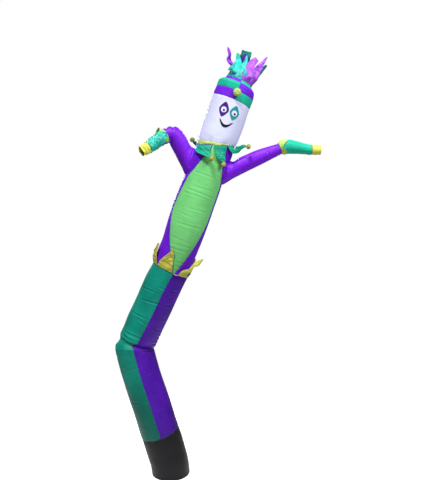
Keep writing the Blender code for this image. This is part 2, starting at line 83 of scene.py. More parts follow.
class Flow:
    """A smooth line through rows of values that never swings past them."""

    def __init__(self, at, values):
        self.at = np.asarray(at, float)
        self.values = np.asarray(values, float).reshape(len(self.at), -1)
        step = np.diff(self.at)[:, None]
        rise = np.diff(self.values, axis=0) / step
        self.slopes = np.zeros_like(self.values)
        self.slopes[0], self.slopes[-1] = rise[0], rise[-1]
        before, after = rise[:-1], rise[1:]
        same_way = before * after > 0
        near, far = 2 * step[1:] + step[:-1], step[1:] + 2 * step[:-1]
        middle = near / np.where(same_way, before, 1) + far / np.where(same_way, after, 1)
        self.slopes[1:-1] = np.where(same_way, (near + far) / np.where(same_way, middle, 1), 0)

    def read(self, s):
        """The values at s, one row for each."""
        s = np.clip(np.asarray(s, float), self.at[0], self.at[-1])
        i = np.clip(np.searchsorted(self.at, s, side="right") - 1, 0, len(self.at) - 2)
        step = (self.at[i + 1] - self.at[i])[..., None]
        t = (s - self.at[i])[..., None] / step
        return (
            (1 + 2 * t) * (1 - t) ** 2 * self.values[i]
            + t * (1 - t) ** 2 * step * self.slopes[i]
            + t * t * (3 - 2 * t) * self.values[i + 1]
            + t * t * (t - 1) * step * self.slopes[i + 1]
        )


class Tube:
    """A blown-up tube: s is how far along it, turn how far round from the front, in degrees."""

    def __init__(self, rings):
        table = np.array([ring[1:] for ring in rings])
        at = lengths_along(table[:, :3])
        self.at = {ring[0]: s for ring, s in zip(rings, at)}
        self.flow = Flow(at, table)

    def ring(self, s):
        """Middle, the axes to the right, the front and along, and the radii wide and deep."""
        x, y, z, tilt, pitch, wide, deep = np.moveaxis(self.flow.read(s), -1, 0)
        tilt, pitch = np.radians(tilt), np.radians(pitch)
        none = np.zeros_like(tilt)
        right = np.stack([np.cos(tilt), none, np.sin(tilt)], -1)
        upright = np.stack([-np.sin(tilt), none, np.cos(tilt)], -1)
        forward = np.array([0.0, -1.0, 0.0])
        lean, square = np.sin(pitch)[..., None], np.cos(pitch)[..., None]
        front = forward * square - upright * lean
        along = upright * square + forward * lean
        return np.stack([x, y, z], -1), right, front, along, wide, deep

    def skin(self, s, turn, lift=0.0):
        """Points of the tube's skin, or that far off it."""
        s, turn, lift = np.broadcast_arrays(s, turn, lift)
        middle, right, front, _, wide, deep = self.ring(s)
        side, face = np.sin(np.radians(turn)), np.cos(np.radians(turn))
        return middle + right * ((wide + lift) * side)[..., None] + front * (
            (deep + lift) * face
        )[..., None]

    def out(self, s, turn):
        """The way that heads straight out of the skin."""
        s, turn = np.broadcast_arrays(s, turn)
        _, right, front, _, _, _ = self.ring(s)
        turn = np.radians(turn)[..., None]
        return right * np.sin(turn) + front * np.cos(turn)


body = Tube(body_rings)


# THE FOOT. A cuff of heavier black coated nylon, one cut sewn up the back and hemmed at the floor,
# where it straps round the air outlet. It carries the whole figure, so its cloth is stiff and
# nearly smooth, with a few level creases, a doubled hem and stitches up its back and round its top.
back_seam = 185.0  # where the long seam runs down the back
weave_step = 0.0075  # how far apart the points of a blown-up panel lie
seam_gap = 0.0002  # how far short of its seam a piece ends
ripstop_grid = 0.0052  # from one thicker thread of the nylon to the next


def drift(across, along, cells, seed):
    """Smooth swells and dips from -1 to 1. Across repeats after that many cells."""
    field = np.random.default_rng(seed).uniform(-1, 1, (cells, 97))
    across, along = np.broadcast_arrays(across, along)
    i, j = np.floor(across).astype(int), np.floor(along).astype(int)
    u, v = across - i, along - j
    u, v = u * u * (3 - 2 * u), v * v * (3 - 2 * v)
    near = field[i % cells, j % 97] * (1 - u) + field[(i + 1) % cells, j % 97] * u
    far = field[i % cells, (j + 1) % 97] * (1 - u) + field[(i + 1) % cells, (j + 1) % 97] * u
    return near * (1 - v) + far * v


def slack(s, turn, seed, creasing=1.0):
    """How far blown-up cloth lies off a perfect tube: broad swells and thin level creases."""
    around = turn / 360
    swells = 0.0022 * drift(around * 8, s / 0.21, 8, seed)
    small = 0.0007 * drift(around * 19, s / 0.060, 19, seed + 1)
    line = 1 - np.abs(drift(around * 7, s / 0.034, 7, seed + 2))
    where = np.clip(drift(around * 5, s / 0.16, 5, seed + 3) + 0.1, 0, 1)
    return swells + small + creasing * 0.0013 * line**6 * where


def add_node(tree, kind, sockets=None, **settings):
    """A new node, with its sockets set to values or joined to the outputs of other nodes."""
    node = tree.nodes.new(kind)
    for key, value in settings.items():
        setattr(node, key, value)
    set_sockets(tree, node, sockets or {})
    return node


def set_sockets(tree, node, sockets):
    for key, value in sockets.items():
        if isinstance(value, bpy.types.NodeSocket):
            tree.links.new(value, node.inputs[key])
        else:
            node.inputs[key].default_value = value


def ramp(tree, value, start, end, first=0.0, last=1.0, kind="LINEAR"):
    """Goes from first to last while the value goes from start to end."""
    ends = {"From Min": start, "From Max": end, "To Min": first, "To Max": last}
    node = add_node(
        tree, "ShaderNodeMapRange", {"Value": value, **ends}, interpolation_type=kind
    )
    return node.outputs[0]


def new_material(name, colour):
    material = bpy.data.materials.new(name)
    material.use_nodes = True
    material.diffuse_color = (*colour, 1)
    return material, material.node_tree, material.node_tree.nodes["Principled BSDF"]


def nylon(name, colour, rough=0.45, shine=0.13, crinkle=0.5, fade=0.10, painted_shade=None):
    """Coated ripstop nylon: a fine square of thicker threads, soft crinkles and a slight gloss.
    Painted shade darkens it below a height along the tube: where from, where to and how much."""
    cloth, tree, shader = new_material(name, colour)

    def sum_up(operation, first, second, clamp=False):
        terms = {0: first, 1: second}
        node = add_node(tree, "ShaderNodeMath", terms, operation=operation, use_clamp=clamp)
        return node.outputs[0]

    def darken(coat, by, share):
        coats = {"Fac": share, "Color1": coat, "Color2": (*by, 1)}
        return add_node(tree, "ShaderNodeMixRGB", coats, blend_type="MULTIPLY").outputs["Color"]

    flat = add_node(tree, "ShaderNodeAttribute", attribute_name="cut").outputs["Vector"]
    part = add_node(tree, "ShaderNodeSeparateXYZ", {0: flat})
    threads = []
    for axis in ("X", "Y"):
        cells = sum_up("MULTIPLY", part.outputs[axis], 1.0 / ripstop_grid)
        off_thread = sum_up("PINGPONG", cells, 0.5)
        threads.append(sum_up("SUBTRACT", 1.0, sum_up("MULTIPLY", off_thread, 7.0, True), True))
    weave = sum_up("MAXIMUM", *threads)
    patchy = add_node(tree, "ShaderNodeTexNoise", {"Vector": flat, "Scale": 4.0, "Detail": 5.0})
    drawn_out = add_node(tree, "ShaderNodeMapping", {"Vector": flat, "Scale": (14.0, 46.0, 1.0)})
    crease = add_node(
        tree, "ShaderNodeTexNoise",
        {"Vector": drawn_out.outputs[0], "Scale": 1.0, "Detail": 6.0, "Distortion": 0.6},
    ).outputs["Fac"]

    shades = add_node(tree, "ShaderNodeValToRGB", {"Fac": patchy.outputs["Fac"]})
    deep_end, pale_end = shades.color_ramp.elements
    deep_end.position, pale_end.position = 0.30, 0.70
    deep_end.color = (*[c * (1 - fade) for c in colour], 1)
    pale_end.color = (*[c * (1 + fade) + 0.01 * fade for c in colour], 1)
    woven = darken(shades.outputs["Color"], (0.84, 0.84, 0.84), sum_up("MULTIPLY", weave, 0.5))
    seam_line = ramp(tree, part.outputs["Z"], 0.0012, 0.0045, 0.45, 0.0)
    coat = darken(woven, (0.45, 0.42, 0.45), seam_line)
    # Painted shade: the colour is darkened below a height along the tube, for the shade on the
    # lower part.
    if painted_shade:
        low, high, shade_depth = painted_shade
        upward = ramp(tree, part.outputs["Y"], low, high, shade_depth, 0.0, "SMOOTHSTEP")
        coat = darken(coat, (0.08, 0.08, 0.08), upward)

    soft = add_node(
        tree, "ShaderNodeBump", {"Height": crease, "Strength": crinkle, "Distance": 0.004}
    )
    relief = add_node(
        tree, "ShaderNodeBump",
        {"Height": weave, "Normal": soft.outputs[0], "Strength": 0.35, "Distance": 0.0004},
    )
    set_sockets(
        tree, shader,
        {
            "Base Color": coat,
            "Roughness": ramp(tree, crease, 0.0, 1.0, rough - 0.07, rough + 0.10),
            "Normal": relief.outputs[0],
            "Specular IOR Level": shine,
        },
    )
    return cloth


lain = {}  # the grid of points of each piece that is laid, for the stitches along its edges


def put_up(name, data):
    """An object in the scene, made from a mesh, a light or a lens."""
    thing = bpy.data.objects.new(name, data)
    bpy.context.scene.collection.objects.link(thing)
    return thing


def lay(
    name, points, cut, cloth, node, thick=0.0
):
    """One cut of cloth as a grid of points, with its cloth, and its CAD piece hidden."""
    lain[name] = points
    rows, columns = points.shape[:2]
    spot = np.arange(rows * columns).reshape(rows, columns)
    faces = np.stack([spot[:-1, :-1], spot[:-1, 1:], spot[1:, 1:], spot[1:, :-1]], -1)
    mesh = bpy.data.meshes.new(name)
    mesh.from_pydata(points.reshape(-1, 3).tolist(), [], faces.reshape(-1, 4).tolist())
    mesh.attributes.new("cut", "FLOAT_VECTOR", "POINT").data.foreach_set(
        "vector", cut.astype(np.float32).ravel()
    )
    mesh.shade_smooth()
    mesh.materials.append(cloth)
    piece = put_up(name, mesh)
    if thick:
        fold = piece.modifiers.new("thickness", "SOLIDIFY")
        fold.thickness, fold.offset = thick, -1.0
    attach(piece, "root")
    if node:
        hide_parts(node)
    return piece


def steps_between(first, last, step=weave_step):
    """Values from first to last, no more than a step apart."""
    return np.linspace(first, last, int((last - first) / step) + 2)


def gathers(s, turn, seam, seed, deep=0.0030, reach=0.04, count=52):
    """The small pleats that stand along a tube where a seam runs round it."""
    off = np.abs(s - seam)
    waves = drift(turn / 360 * count, off / 0.09, count, seed)
    return np.exp(-off / reach) * deep * waves - 0.0028 * np.exp(-((off / 0.010) ** 2))


foot_cloth = nylon("foot_cuff_nylon", (0.0052, 0.0050, 0.0062), 0.52)
foot_top = body.at["cuff_top"]
foot_radius = 0.238
hem_high, hem_thick = 0.031, 0.0011
foot_rows = np.concatenate(
    [[0.0, 0.002, 0.030, 0.032], steps_between(0.040, foot_top - seam_gap)]
)
foot_turns = np.linspace(back_seam - 360, back_seam, 190)
foot_s, foot_turn = np.meshgrid(foot_rows, foot_turns, indexing="ij")
foot_lift = slack(foot_s, foot_turn, 5, 1.4) * np.clip(foot_s / 0.1, 0, 1)
foot_lift += hem_thick * (foot_s < hem_high) - 0.001 * (foot_s < 0.001)
foot_lift += gathers(foot_s, foot_turn, foot_top, 9, 0.0026)
foot_cut = np.stack(
    [
        np.radians(foot_turn) * foot_radius,
        foot_s,
        np.minimum(np.abs(foot_s - hem_high), foot_top - foot_s),
    ],
    -1,
)
lay(
    "foot_cuff_cloth", body.skin(foot_s, foot_turn, foot_lift), foot_cut, foot_cloth, "foot_cuff",
    thick=0.0018,
)


def thread(name, colour):
    """Spun polyester thread: a little shine, and darker and lighter stretches."""
    spun, tree, shader = new_material(name, colour)
    place = add_node(tree, "ShaderNodeTexCoord").outputs["Object"]
    twist = add_node(tree, "ShaderNodeTexNoise", {"Vector": place, "Scale": 700.0}).outputs["Fac"]
    tones = add_node(tree, "ShaderNodeValToRGB", {"Fac": twist})
    tones.color_ramp.elements[0].color = (*[0.6 * c for c in colour], 1)
    tones.color_ramp.elements[1].color = (*[min(1.0, 1.3 * c) for c in colour], 1)
    ply = add_node(tree, "ShaderNodeBump", {"Height": twist, "Distance": 0.0003})
    set_sockets(
        tree, shader,
        {"Base Color": tones.outputs["Color"], "Roughness": 0.55, "Normal": ply.outputs[0]},
    )
    return spun


stitch_pitch = 0.0075
stitch_long, stitch_wide, stitch_high = 0.0052, 0.0013, 0.0007


def unit(vectors):
    """The same directions, each of length 1."""
    return vectors / np.linalg.norm(vectors, axis=-1, keepdims=True)


def sew_rows(name, pieces, spun, edges=("left", "right", "low", "high")):
    """Stitches beside the edges of pieces already laid, each a small raised lozenge of thread."""
    corners = []
    for grid, edge in [(lain[piece], edge) for piece in pieces for edge in edges]:
        if edge in ("left", "right"):
            first, second = (1, 2) if edge == "left" else (-2, -3)
            near = grid[:, second] - grid[:, first]
            line = grid[:, first] + 0.65 * near
        else:
            first, second = (0, 1) if edge == "low" else (-1, -2)
            near = grid[second] - grid[first]
            line = grid[first] + 0.7 * near
        at = lengths_along(line)
        places = np.arange(stitch_pitch, at[-1] - stitch_pitch / 2, stitch_pitch)
        middle, ahead, inward = (
            np.stack([np.interp(spots, at, values[:, k]) for k in range(3)], -1)
            for spots, values in ((places, line), (places + 0.003, line), (places, near))
        )
        heading = unit(ahead - middle)
        out = unit(np.cross(heading, inward))
        from_axis = middle - grid.reshape(-1, 3).mean(0)
        axis = unit(grid[-1].mean(0) - grid[0].mean(0))
        from_axis -= axis * (from_axis @ axis)[:, None]
        out *= np.sign((out * from_axis).sum(1).mean())
        ends, high = heading * stitch_long / 2, out * stitch_high
        sides = np.cross(out, heading) * stitch_wide / 2
        spots = [-ends, sides, ends, -sides, high, -high]
        corners.append((middle[:, None] + np.stack(spots, 1)).reshape(-1, 3))
    corners = np.concatenate(corners)
    around = [(0, 1), (1, 2), (2, 3), (3, 0)]
    one = np.array([(a, b, 4) for a, b in around] + [(b, a, 5) for a, b in around])
    faces = (one[None] + 6 * np.arange(len(corners) // 6)[:, None, None]).reshape(-1, 3)
    mesh = bpy.data.meshes.new(name)
    mesh.from_pydata(corners.tolist(), [], faces.tolist())
    mesh.materials.append(spun)
    stitches = put_up(name, mesh)
    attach(stitches, "root")


grey_thread = thread("grey_thread", (0.10, 0.10, 0.11))
sew_rows("foot_stitches", ["foot_cuff_cloth"], grey_thread, ("high", "left"))


# THE LEGS. Two long halves, green and purple, sewn down the front and the back. The tube folds
# sharply at the knee, where the cloth buckles into short facets, and bears a few level creases.
seam_steps = (0.0015, 0.0090, 0.0115)  # rows of points close to a long seam, for its fold
fell_wide, fell_thick = 0.0095, 0.0008  # the seam's second layer, on the right edge of a panel


def pucker(distance, s, seed, reach=0.015, deep=0.0019):
    """The small gathers that a sewn seam pulls across itself, and the valley it lies in."""
    near = np.exp(-distance / reach)
    waves = drift(distance / 0.055, s / 0.0165, 41, seed)
    return deep * near * waves - 0.0030 * np.exp(-((distance / 0.009) ** 2))


def sizes_of(points):
    """The greatest width and length of a grid of points, and its area."""
    crosswise, lengthwise = np.diff(points, axis=1), np.diff(points, axis=0)
    widest = float(np.linalg.norm(crosswise, axis=2).sum(1).max())
    longest = float(np.linalg.norm(lengthwise, axis=2).sum(0).max())
    area = np.linalg.norm(np.cross(crosswise[:-1], lengthwise[:, :-1]), axis=2).sum()
    return (round(widest, 3), round(longest, 3)), float(area)


def wrap_panel(name, rows, left, right, cloth, node, seed, lie, climb=None):
    """A panel between two long seams of the body, at the turns left and right: lie says how far
    it stands off the body's skin, and climb how far it is drawn up along the body."""
    left, right = (edge + np.zeros(len(rows)) for edge in (left, right))
    wide, deep = body.ring(rows)[4:]
    width = np.radians(right - left) * (wide + deep) / 2
    columns = max(8, int(width.max() / weave_step))
    across = np.linspace(0, 1, columns + 1)[None, :] * width[:, None]
    for k, near in enumerate(seam_steps, start=1):
        across[:, k] = np.minimum(near, across[:, k])
        across[:, -1 - k] = np.maximum(width - near, across[:, -1 - k])
    turn = left[:, None] + (right - left)[:, None] * across / width[:, None]
    s = np.repeat(rows[:, None], columns + 1, 1)
    from_left, from_right = across, width[:, None] - across
    lift = slack(s, turn, seed)
    lift = lift + pucker(from_left, s, seed + 11) + pucker(from_right, s, seed + 12)
    felled = (from_right > 0.001) & (from_right < fell_wide)
    lift = lift + fell_thick * felled + lie(s, turn)
    to_seam = np.minimum(from_left, from_right)
    ends = np.minimum(s - rows[0], rows[-1] - s)
    cut = np.stack([across - width[:, None] / 2, s, np.minimum(to_seam, ends)], -1)
    flat, area = sizes_of(body.skin(s, turn))
    area = min(area, flat[0] * flat[1])
    points = body.skin(s, turn, lift)
    if climb is not None:
        points = points + climb(s, turn)[..., None] * body.ring(s)[3]
    return lay(name, points, cut, cloth, node)


def rows_between(first, last, step=weave_step):
    """Rows of points along the body from one ring to another, just short of both seams."""
    return steps_between(body.at[first] + seam_gap, body.at[last] - seam_gap, step)


# Both leg halves are darkened towards the foot as painted shade.
leg_green = nylon(
    "leg_green_nylon", (0.002, 0.215, 0.160), crinkle=0.9, fade=0.20, painted_shade=(0.80, 1.80, 0.75)
)
leg_purple = nylon(
    "leg_purple_nylon", (0.052, 0.003, 0.270), crinkle=0.9, fade=0.20, painted_shade=(0.40, 1.25, 0.50)
)
# The turn of the front seam at each ring: it steps aside where the knee is folded.
leg_seam = {
    "cuff_top": 8.0, "shin_high": 8.0, "below_knee": 8.0, "knee_bulge": 6.0, "knee_fold": -6.0,
    "knee_top": 9.0, "thigh_mid": 11.0, "waist": 15.0,
}
# Creases: the ring they start from, metres past it, turn of their middle, half their length in
# degrees, how much they climb by 90 degrees, depth and half width in metres.
leg_creases = [
    ("cuff_top", 0.060, 30, 60, 0.02, 0.004, 0.010),
    ("cuff_top", 0.190, -30, 40, -0.03, 0.003, 0.008),
    ("cuff_top", 0.365, 5, 55, -0.07, 0.004, 0.010),
    ("shin_low", 0.075, -20, 50, -0.03, 0.005, 0.011),
    ("shin_low", 0.180, 60, 45, 0.03, 0.003, 0.008),
    ("shin_high", 0.060, 50, 40, 0.04, 0.004, 0.009),
    ("shin_high", 0.160, -15, 45, 0.00, 0.006, 0.011),
    ("below_knee", 0.050, -40, 55, 0.02, 0.006, 0.012),
    ("knee_bulge", 0.004, -50, 45, 0.03, 0.007, 0.012),
    ("knee_bulge", -0.040, 70, 60, -0.03, 0.008, 0.013),
    ("knee_top", 0.020, -45, 50, -0.03, 0.009, 0.012),
    ("knee_top", 0.066, -10, 50, 0.02, 0.007, 0.012),
    ("knee_top", 0.040, 95, 60, 0.03, 0.010, 0.014),
    ("thigh_low", 0.040, 110, 60, -0.03, 0.008, 0.013),
    ("thigh_low", 0.180, 20, 60, -0.05, 0.005, 0.011),
    ("thigh_low", 0.250, -30, 50, 0.03, 0.005, 0.010),
    ("thigh_mid", 0.150, 5, 65, 0.07, 0.006, 0.011),
    ("thigh_mid", 0.260, -40, 50, 0.03, 0.004, 0.010),
    ("thigh_mid", 0.360, 30, 55, 0.03, 0.005, 0.010),
    ("shin_low", 0.120, 170, 60, 0.03, 0.005, 0.010),
    ("shin_high", 0.110, -150, 60, -0.04, 0.005, 0.010),
    ("thigh_low", 0.150, -160, 60, 0.05, 0.006, 0.011),
    ("thigh_mid", 0.200, 150, 60, -0.04, 0.005, 0.010),
]


def creased(table, tube=body):
    """The relief of a table of creases: a groove, with a soft ridge above and below it."""

    def relief(s, turn):
        total = np.zeros_like(s)
        for place, more, middle, half, climb, deep, wide in table:
            off_turn = (turn - middle + 180) % 360 - 180
            share = np.clip(1 - (off_turn / half) ** 2, 0, 1) ** 1.5
            off = (s - tube.at[place] - more - climb * off_turn / 90) / wide
            groove = -np.exp(-(off**2)) + 0.55 * np.exp(-((np.abs(off) - 1.9) ** 2))
            total += deep * share * groove
        return total

    return relief


leg_relief = creased(leg_creases)


knee = body.at["knee_fold"]
knee_rise, knee_reach = 0.100, 0.24  # how far its fold is drawn up in front, and over what length
thigh_draw = 0.014  # how far the thigh is drawn in on the outside, just above the knee


def leg_lie(s, turn):
    """How far the legs' cloth stands off: its creases, gathered ends and the knee's facets."""
    crush = np.exp(-(((s - knee) / 0.075) ** 2))
    facets = np.abs(drift(turn / 360 * 15, (s - knee) / 0.05, 15, 77)) - 0.45
    outer_side = np.clip(-np.sin(np.radians(turn)), 0, 1) ** 2
    return (
        leg_relief(s, turn)
        + 0.011 * crush * facets
        - thigh_draw * np.exp(-(((s - knee - 0.16) / 0.14) ** 2)) * outer_side
        + gathers(s, turn, body.at["waist"], 31)
        + gathers(s, turn, body.at["cuff_top"], 32, 0.0026)
    )


def knee_climb(s, turn):
    """How far the front of the knee is drawn up, so that its fold runs up across the front."""
    near = np.exp(-(((s - knee) / knee_reach) ** 2))
    return knee_rise * near * np.clip(1 - (np.abs(turn + 5) / 95) ** 2.5, 0, 1)


leg_rows = rows_between("cuff_top", "waist")
seam_flow = Flow([body.at[ring] for ring in leg_seam], list(leg_seam.values()))
leg_front = seam_flow.read(leg_rows)[:, 0]
wrap_panel(
    "leg_half_left", leg_rows, back_seam - 360, leg_front, leg_green, "leg_panel_left",
    20, leg_lie, knee_climb,
)
wrap_panel(
    "leg_half_right", leg_rows, leg_front, back_seam, leg_purple, "leg_panel_right",
    20, leg_lie, knee_climb,
)
violet_thread = thread("violet_thread", (0.10, 0.02, 0.34))
sew_rows("leg_stitches", ["leg_half_left", "leg_half_right"], violet_thread)


# THE ARMS. Each sleeve is a purple tube let into the side of the torso, and narrows to a teal
# forearm with a yellow band round its open end. The left arm rises, folds over at the
# elbow and hangs slack, so it is crumpled. The right one is blown out nearly straight.
left_arm_rings = [
    ("inside", 0.334, -0.03, 3.833, 68.6, 0, 0.176, 0.130),
    ("root", 0.251, -0.04, 3.900, 72.0, 4, 0.172, 0.135),
    ("armpit", 0.205, -0.06, 3.962, 64.3, 10, 0.133, 0.122),
    ("arm_mid", 0.162, -0.09, 4.047, 52.4, 14, 0.117, 0.114),
    ("arm_high", 0.116, -0.12, 4.131, 42.0, 15, 0.108, 0.108),
    ("elbow", 0.050, -0.15, 4.202, 76.0, 22, 0.104, 0.104),
    ("sleeve_end", -0.036, -0.18, 4.186, 121.0, 30, 0.084, 0.084),
    ("cuff_edge", -0.062, -0.20, 4.168, 123.0, 31, 0.082, 0.080),
    ("forearm_mid", -0.135, -0.25, 4.108, 124.0, 31, 0.075, 0.073),
    ("band", -0.222, -0.31, 4.036, 124.0, 31, 0.071, 0.069),
    ("hand", -0.290, -0.36, 3.984, 122.0, 31, 0.074, 0.072),
]
right_arm_rings = [
    ("inside", 0.602, 0.00, 3.790, -115.0, 0, 0.172, 0.130),
    ("root", 0.700, 0.00, 3.758, -115.0, 0, 0.158, 0.132),
    ("armpit", 0.823, 0.00, 3.823, -107.0, 0, 0.134, 0.122),
    ("arm_mid", 0.976, 0.01, 3.897, -96.5, 0, 0.111, 0.106),
    ("arm_high", 1.155, 0.02, 3.977, -79.0, 0, 0.090, 0.088),
    ("elbow", 1.270, 0.03, 4.026, -68.0, 0, 0.076, 0.076),
    ("sleeve_end", 1.352, 0.03, 4.060, -66.0, 0, 0.068, 0.070),
    ("cuff_edge", 1.395, 0.03, 4.075, -76.0, 0, 0.080, 0.080),
    ("forearm_mid", 1.471, 0.03, 4.084, -94.0, 0, 0.087, 0.086),
    ("forearm_seam", 1.551, 0.03, 4.076, -92.0, 0, 0.077, 0.077),
    ("band", 1.743, 0.01, 4.046, -92.0, 0, 0.061, 0.061),
    ("hand", 1.850, 0.00, 4.042, -90.0, 0, 0.062, 0.062),
]
arms = {"left": Tube(left_arm_rings), "right": Tube(right_arm_rings)}


def outside(tube, points, first, last):
    """How far points lie outside a tube's skin, below 0 inside, and off its nearest ring."""
    s = np.linspace(tube.at[first], tube.at[last], 140)
    middle, right, front, along, wide, deep = tube.ring(s)
    apart = points[:, None, :] - middle[None]
    height = np.abs((apart * along).sum(-1))
    k = height.argmin(1)
    each = np.arange(len(points))
    apart = apart[each, k]
    x = (apart * right[k]).sum(-1) / wide[k]
    y = (apart * front[k]).sum(-1) / deep[k]
    return (np.hypot(x, y) - 1) * (wide[k] + deep[k]) / 2, height[each, k]


purple = nylon("sleeve_purple_nylon", (0.180, 0.007, 0.710), shine=0.22, crinkle=0.7)
teal = nylon("teal_nylon", (0.010, 0.450, 0.300))
yellow = nylon("yellow_nylon", (0.640, 0.660, 0.100))
# A lighter, bluer copy of the teal for the left forearm: its crinkle and gloss are the cloth's own,
# its paler colour is painted light for the sunlit arm.
sunlit_slack_teal = nylon("slack_teal_nylon", (0.012, 0.470, 0.370), 0.30, 0.50, 1.6, 0.25)


sleeve_step = 0.006  # how far apart the points of an arm's pieces lie
root_depth = 0.005  # how far a sleeve runs into the torso


def wrap_tube(name, arm, first, last, cloth, node, seed, lie, thick=0.0012):
    """A tube of one cut, sewn along its far side. First may differ from column to column."""
    girth = 2 * np.pi * float(arm.ring(np.array(last))[4])
    girth = max(girth, 2 * np.pi * float(arm.ring(np.array(np.mean(first)))[4]))
    columns = max(48, int(girth / sleeve_step))
    turn = np.linspace(-180, 180, columns + 1)
    first = np.interp(turn, np.linspace(-180, 180, len(first)), first)
    count = max(3, int((last - first.min()) / sleeve_step))
    share = np.linspace(0, 1, count + 1)[:, None]
    s = first[None, :] + (last - first)[None, :] * share
    turns = np.repeat(turn[None, :], count + 1, 0)
    lift = slack(s, turns, seed, 0.6) * 0.8
    lift += pucker(np.radians(180 - np.abs(turns)) * 0.08, s, seed + 7, 0.02, 0.002)
    lift += lie(s, turns)
    edge = np.minimum(s - first[None, :], last - s)
    cut = np.stack([turns / 360 * girth, s, edge], -1)
    points = arm.skin(s, turns, lift)
    return lay(name, points, cut, cloth, node, thick)


def root_of(arm):
    """Where each line of the sleeve comes out of the torso, a little inside its skin."""
    turn = np.linspace(-180, 180, 121)
    s = np.linspace(arm.at["inside"], arm.at["arm_high"], 240)
    at, round_it = np.meshgrid(s, turn, indexing="ij")
    gap, _ = outside(body, arm.skin(at, round_it).reshape(-1, 3), "chest_low", "collar_seam")
    inside = gap.reshape(at.shape) < -root_depth
    return s[inside.shape[0] - 1 - inside[::-1].argmax(0)]


left_sleeve_creases = [
    ("root", 0.010, 60, 70, 0.02, 0.010, 0.013),
    ("root", 0.060, 90, 60, 0.04, 0.008, 0.012),
    ("armpit", 0.030, 100, 60, 0.05, 0.006, 0.010),
    ("arm_mid", 0.040, 95, 60, 0.05, 0.006, 0.011),
    ("arm_high", 0.020, 80, 80, 0.06, 0.007, 0.010),
    ("arm_high", 0.060, 95, 80, 0.05, 0.008, 0.010),
    ("elbow", 0.010, 90, 80, -0.02, 0.009, 0.010),
    ("elbow", 0.045, 100, 70, -0.05, 0.008, 0.009),
    ("elbow", -0.020, -70, 50, 0.02, 0.005, 0.009),
    ("elbow", 0.030, -40, 60, 0.03, 0.005, 0.008),
]
right_sleeve_creases = [
    ("root", 0.040, 20, 60, 0.05, 0.006, 0.012),
    ("root", 0.090, -30, 60, -0.05, 0.006, 0.012),
    ("armpit", 0.060, 40, 60, 0.05, 0.005, 0.011),
    ("arm_mid", 0.050, -20, 60, -0.04, 0.005, 0.011),
    ("arm_mid", 0.140, 30, 60, 0.04, 0.004, 0.010),
    ("arm_high", 0.060, 10, 60, 0.03, 0.004, 0.010),
    ("elbow", 0.030, 60, 90, 0.02, 0.004, 0.008),
]
sleeve_folds = {"left": left_sleeve_creases, "right": right_sleeve_creases}
# How crumpled the arm is, and how its mouth is pinched flat and its brim curls in, in metres.
crumpling = {"left": 4.4, "right": 0.8}
forearm_teals = {"left": sunlit_slack_teal, "right": teal}
mouth_pinch = {"left": 0.016, "right": 0.0}
mouth_curl = {"left": 0.013, "right": 0.003}
lining_gap = 0.0045  # how far inside the wrist band its lining lies
arm_roots = {}
for side, arm in arms.items():
    arm_roots[side] = root_of(arm)
    fold_lines = creased(sleeve_folds[side], arm)
    sewn_in = float(np.median(arm_roots[side]))
    end = arm.at["sleeve_end"]

    def sleeve_lie(s, turn):
        pulled = gathers(s, turn, sewn_in, 61, 0.0060, 0.05, 26)
        return fold_lines(s, turn) + pulled + gathers(s, turn, end, 62, 0.0025, 0.03, 26)

    wrap_tube(
        f"sleeve_{side}_cloth", arm, arm_roots[side], end - seam_gap, purple,
        f"sleeve_{side}", 60, sleeve_lie,
    )

    def forearm_lie(s, turn):
        rough = crumpling[side]
        folds = 1 - np.abs(drift(turn / 360 * 9, s / 0.045, 9, 66))
        across = 1 - np.abs(drift(turn / 360 * 13 + s / 0.11, s / 0.030, 13, 67))
        both = 0.0022 * rough * (folds**4 + across**5 - 0.4)
        ends = gathers(s, turn, end, 63, 0.0025, 0.03, 26)
        return both + ends + gathers(s, turn, arm.at["band"], 64, 0.0025, 0.025, 26)

    wrap_tube(
        f"forearm_{side}_cloth", arm, np.full(9, end + seam_gap), arm.at["band"] - seam_gap,
        forearm_teals[side], f"forearm_{side}", 65,
        forearm_lie,
    )

    def band_lie(s, turn):
        rough = crumpling[side]
        mouth = np.clip((s - arm.at["band"]) / 0.075, 0, 1)
        dents = drift(turn / 360 * 11, s / 0.045, 11, 70)
        pinch = -mouth_pinch[side] * np.cos(np.radians(turn)) ** 2 * mouth**1.5
        curled = -mouth_curl[side] * np.clip(mouth * 4 - 3, 0, 1) ** 1.5
        ends = gathers(s, turn, arm.at["band"], 64, 0.002)
        return 0.0014 * rough * (0.6 + mouth) * dents + pinch + curled + ends

    wrap_tube(
        f"wrist_band_{side}_cloth", arm, np.full(9, arm.at["band"] + seam_gap),
        arm.at["hand"] - seam_gap, yellow, f"wrist_band_{side}", 71,
        band_lie, 0.0018,
    )

    def lining_lie(s, turn):
        return band_lie(s, turn) - lining_gap

    wrap_tube(
        f"hand_lining_{side}_cloth", arm, np.full(9, arm.at["band"] + 0.004),
        arm.at["hand"] - 0.020, teal, None, 71,
        lining_lie, 0.0010,
    )


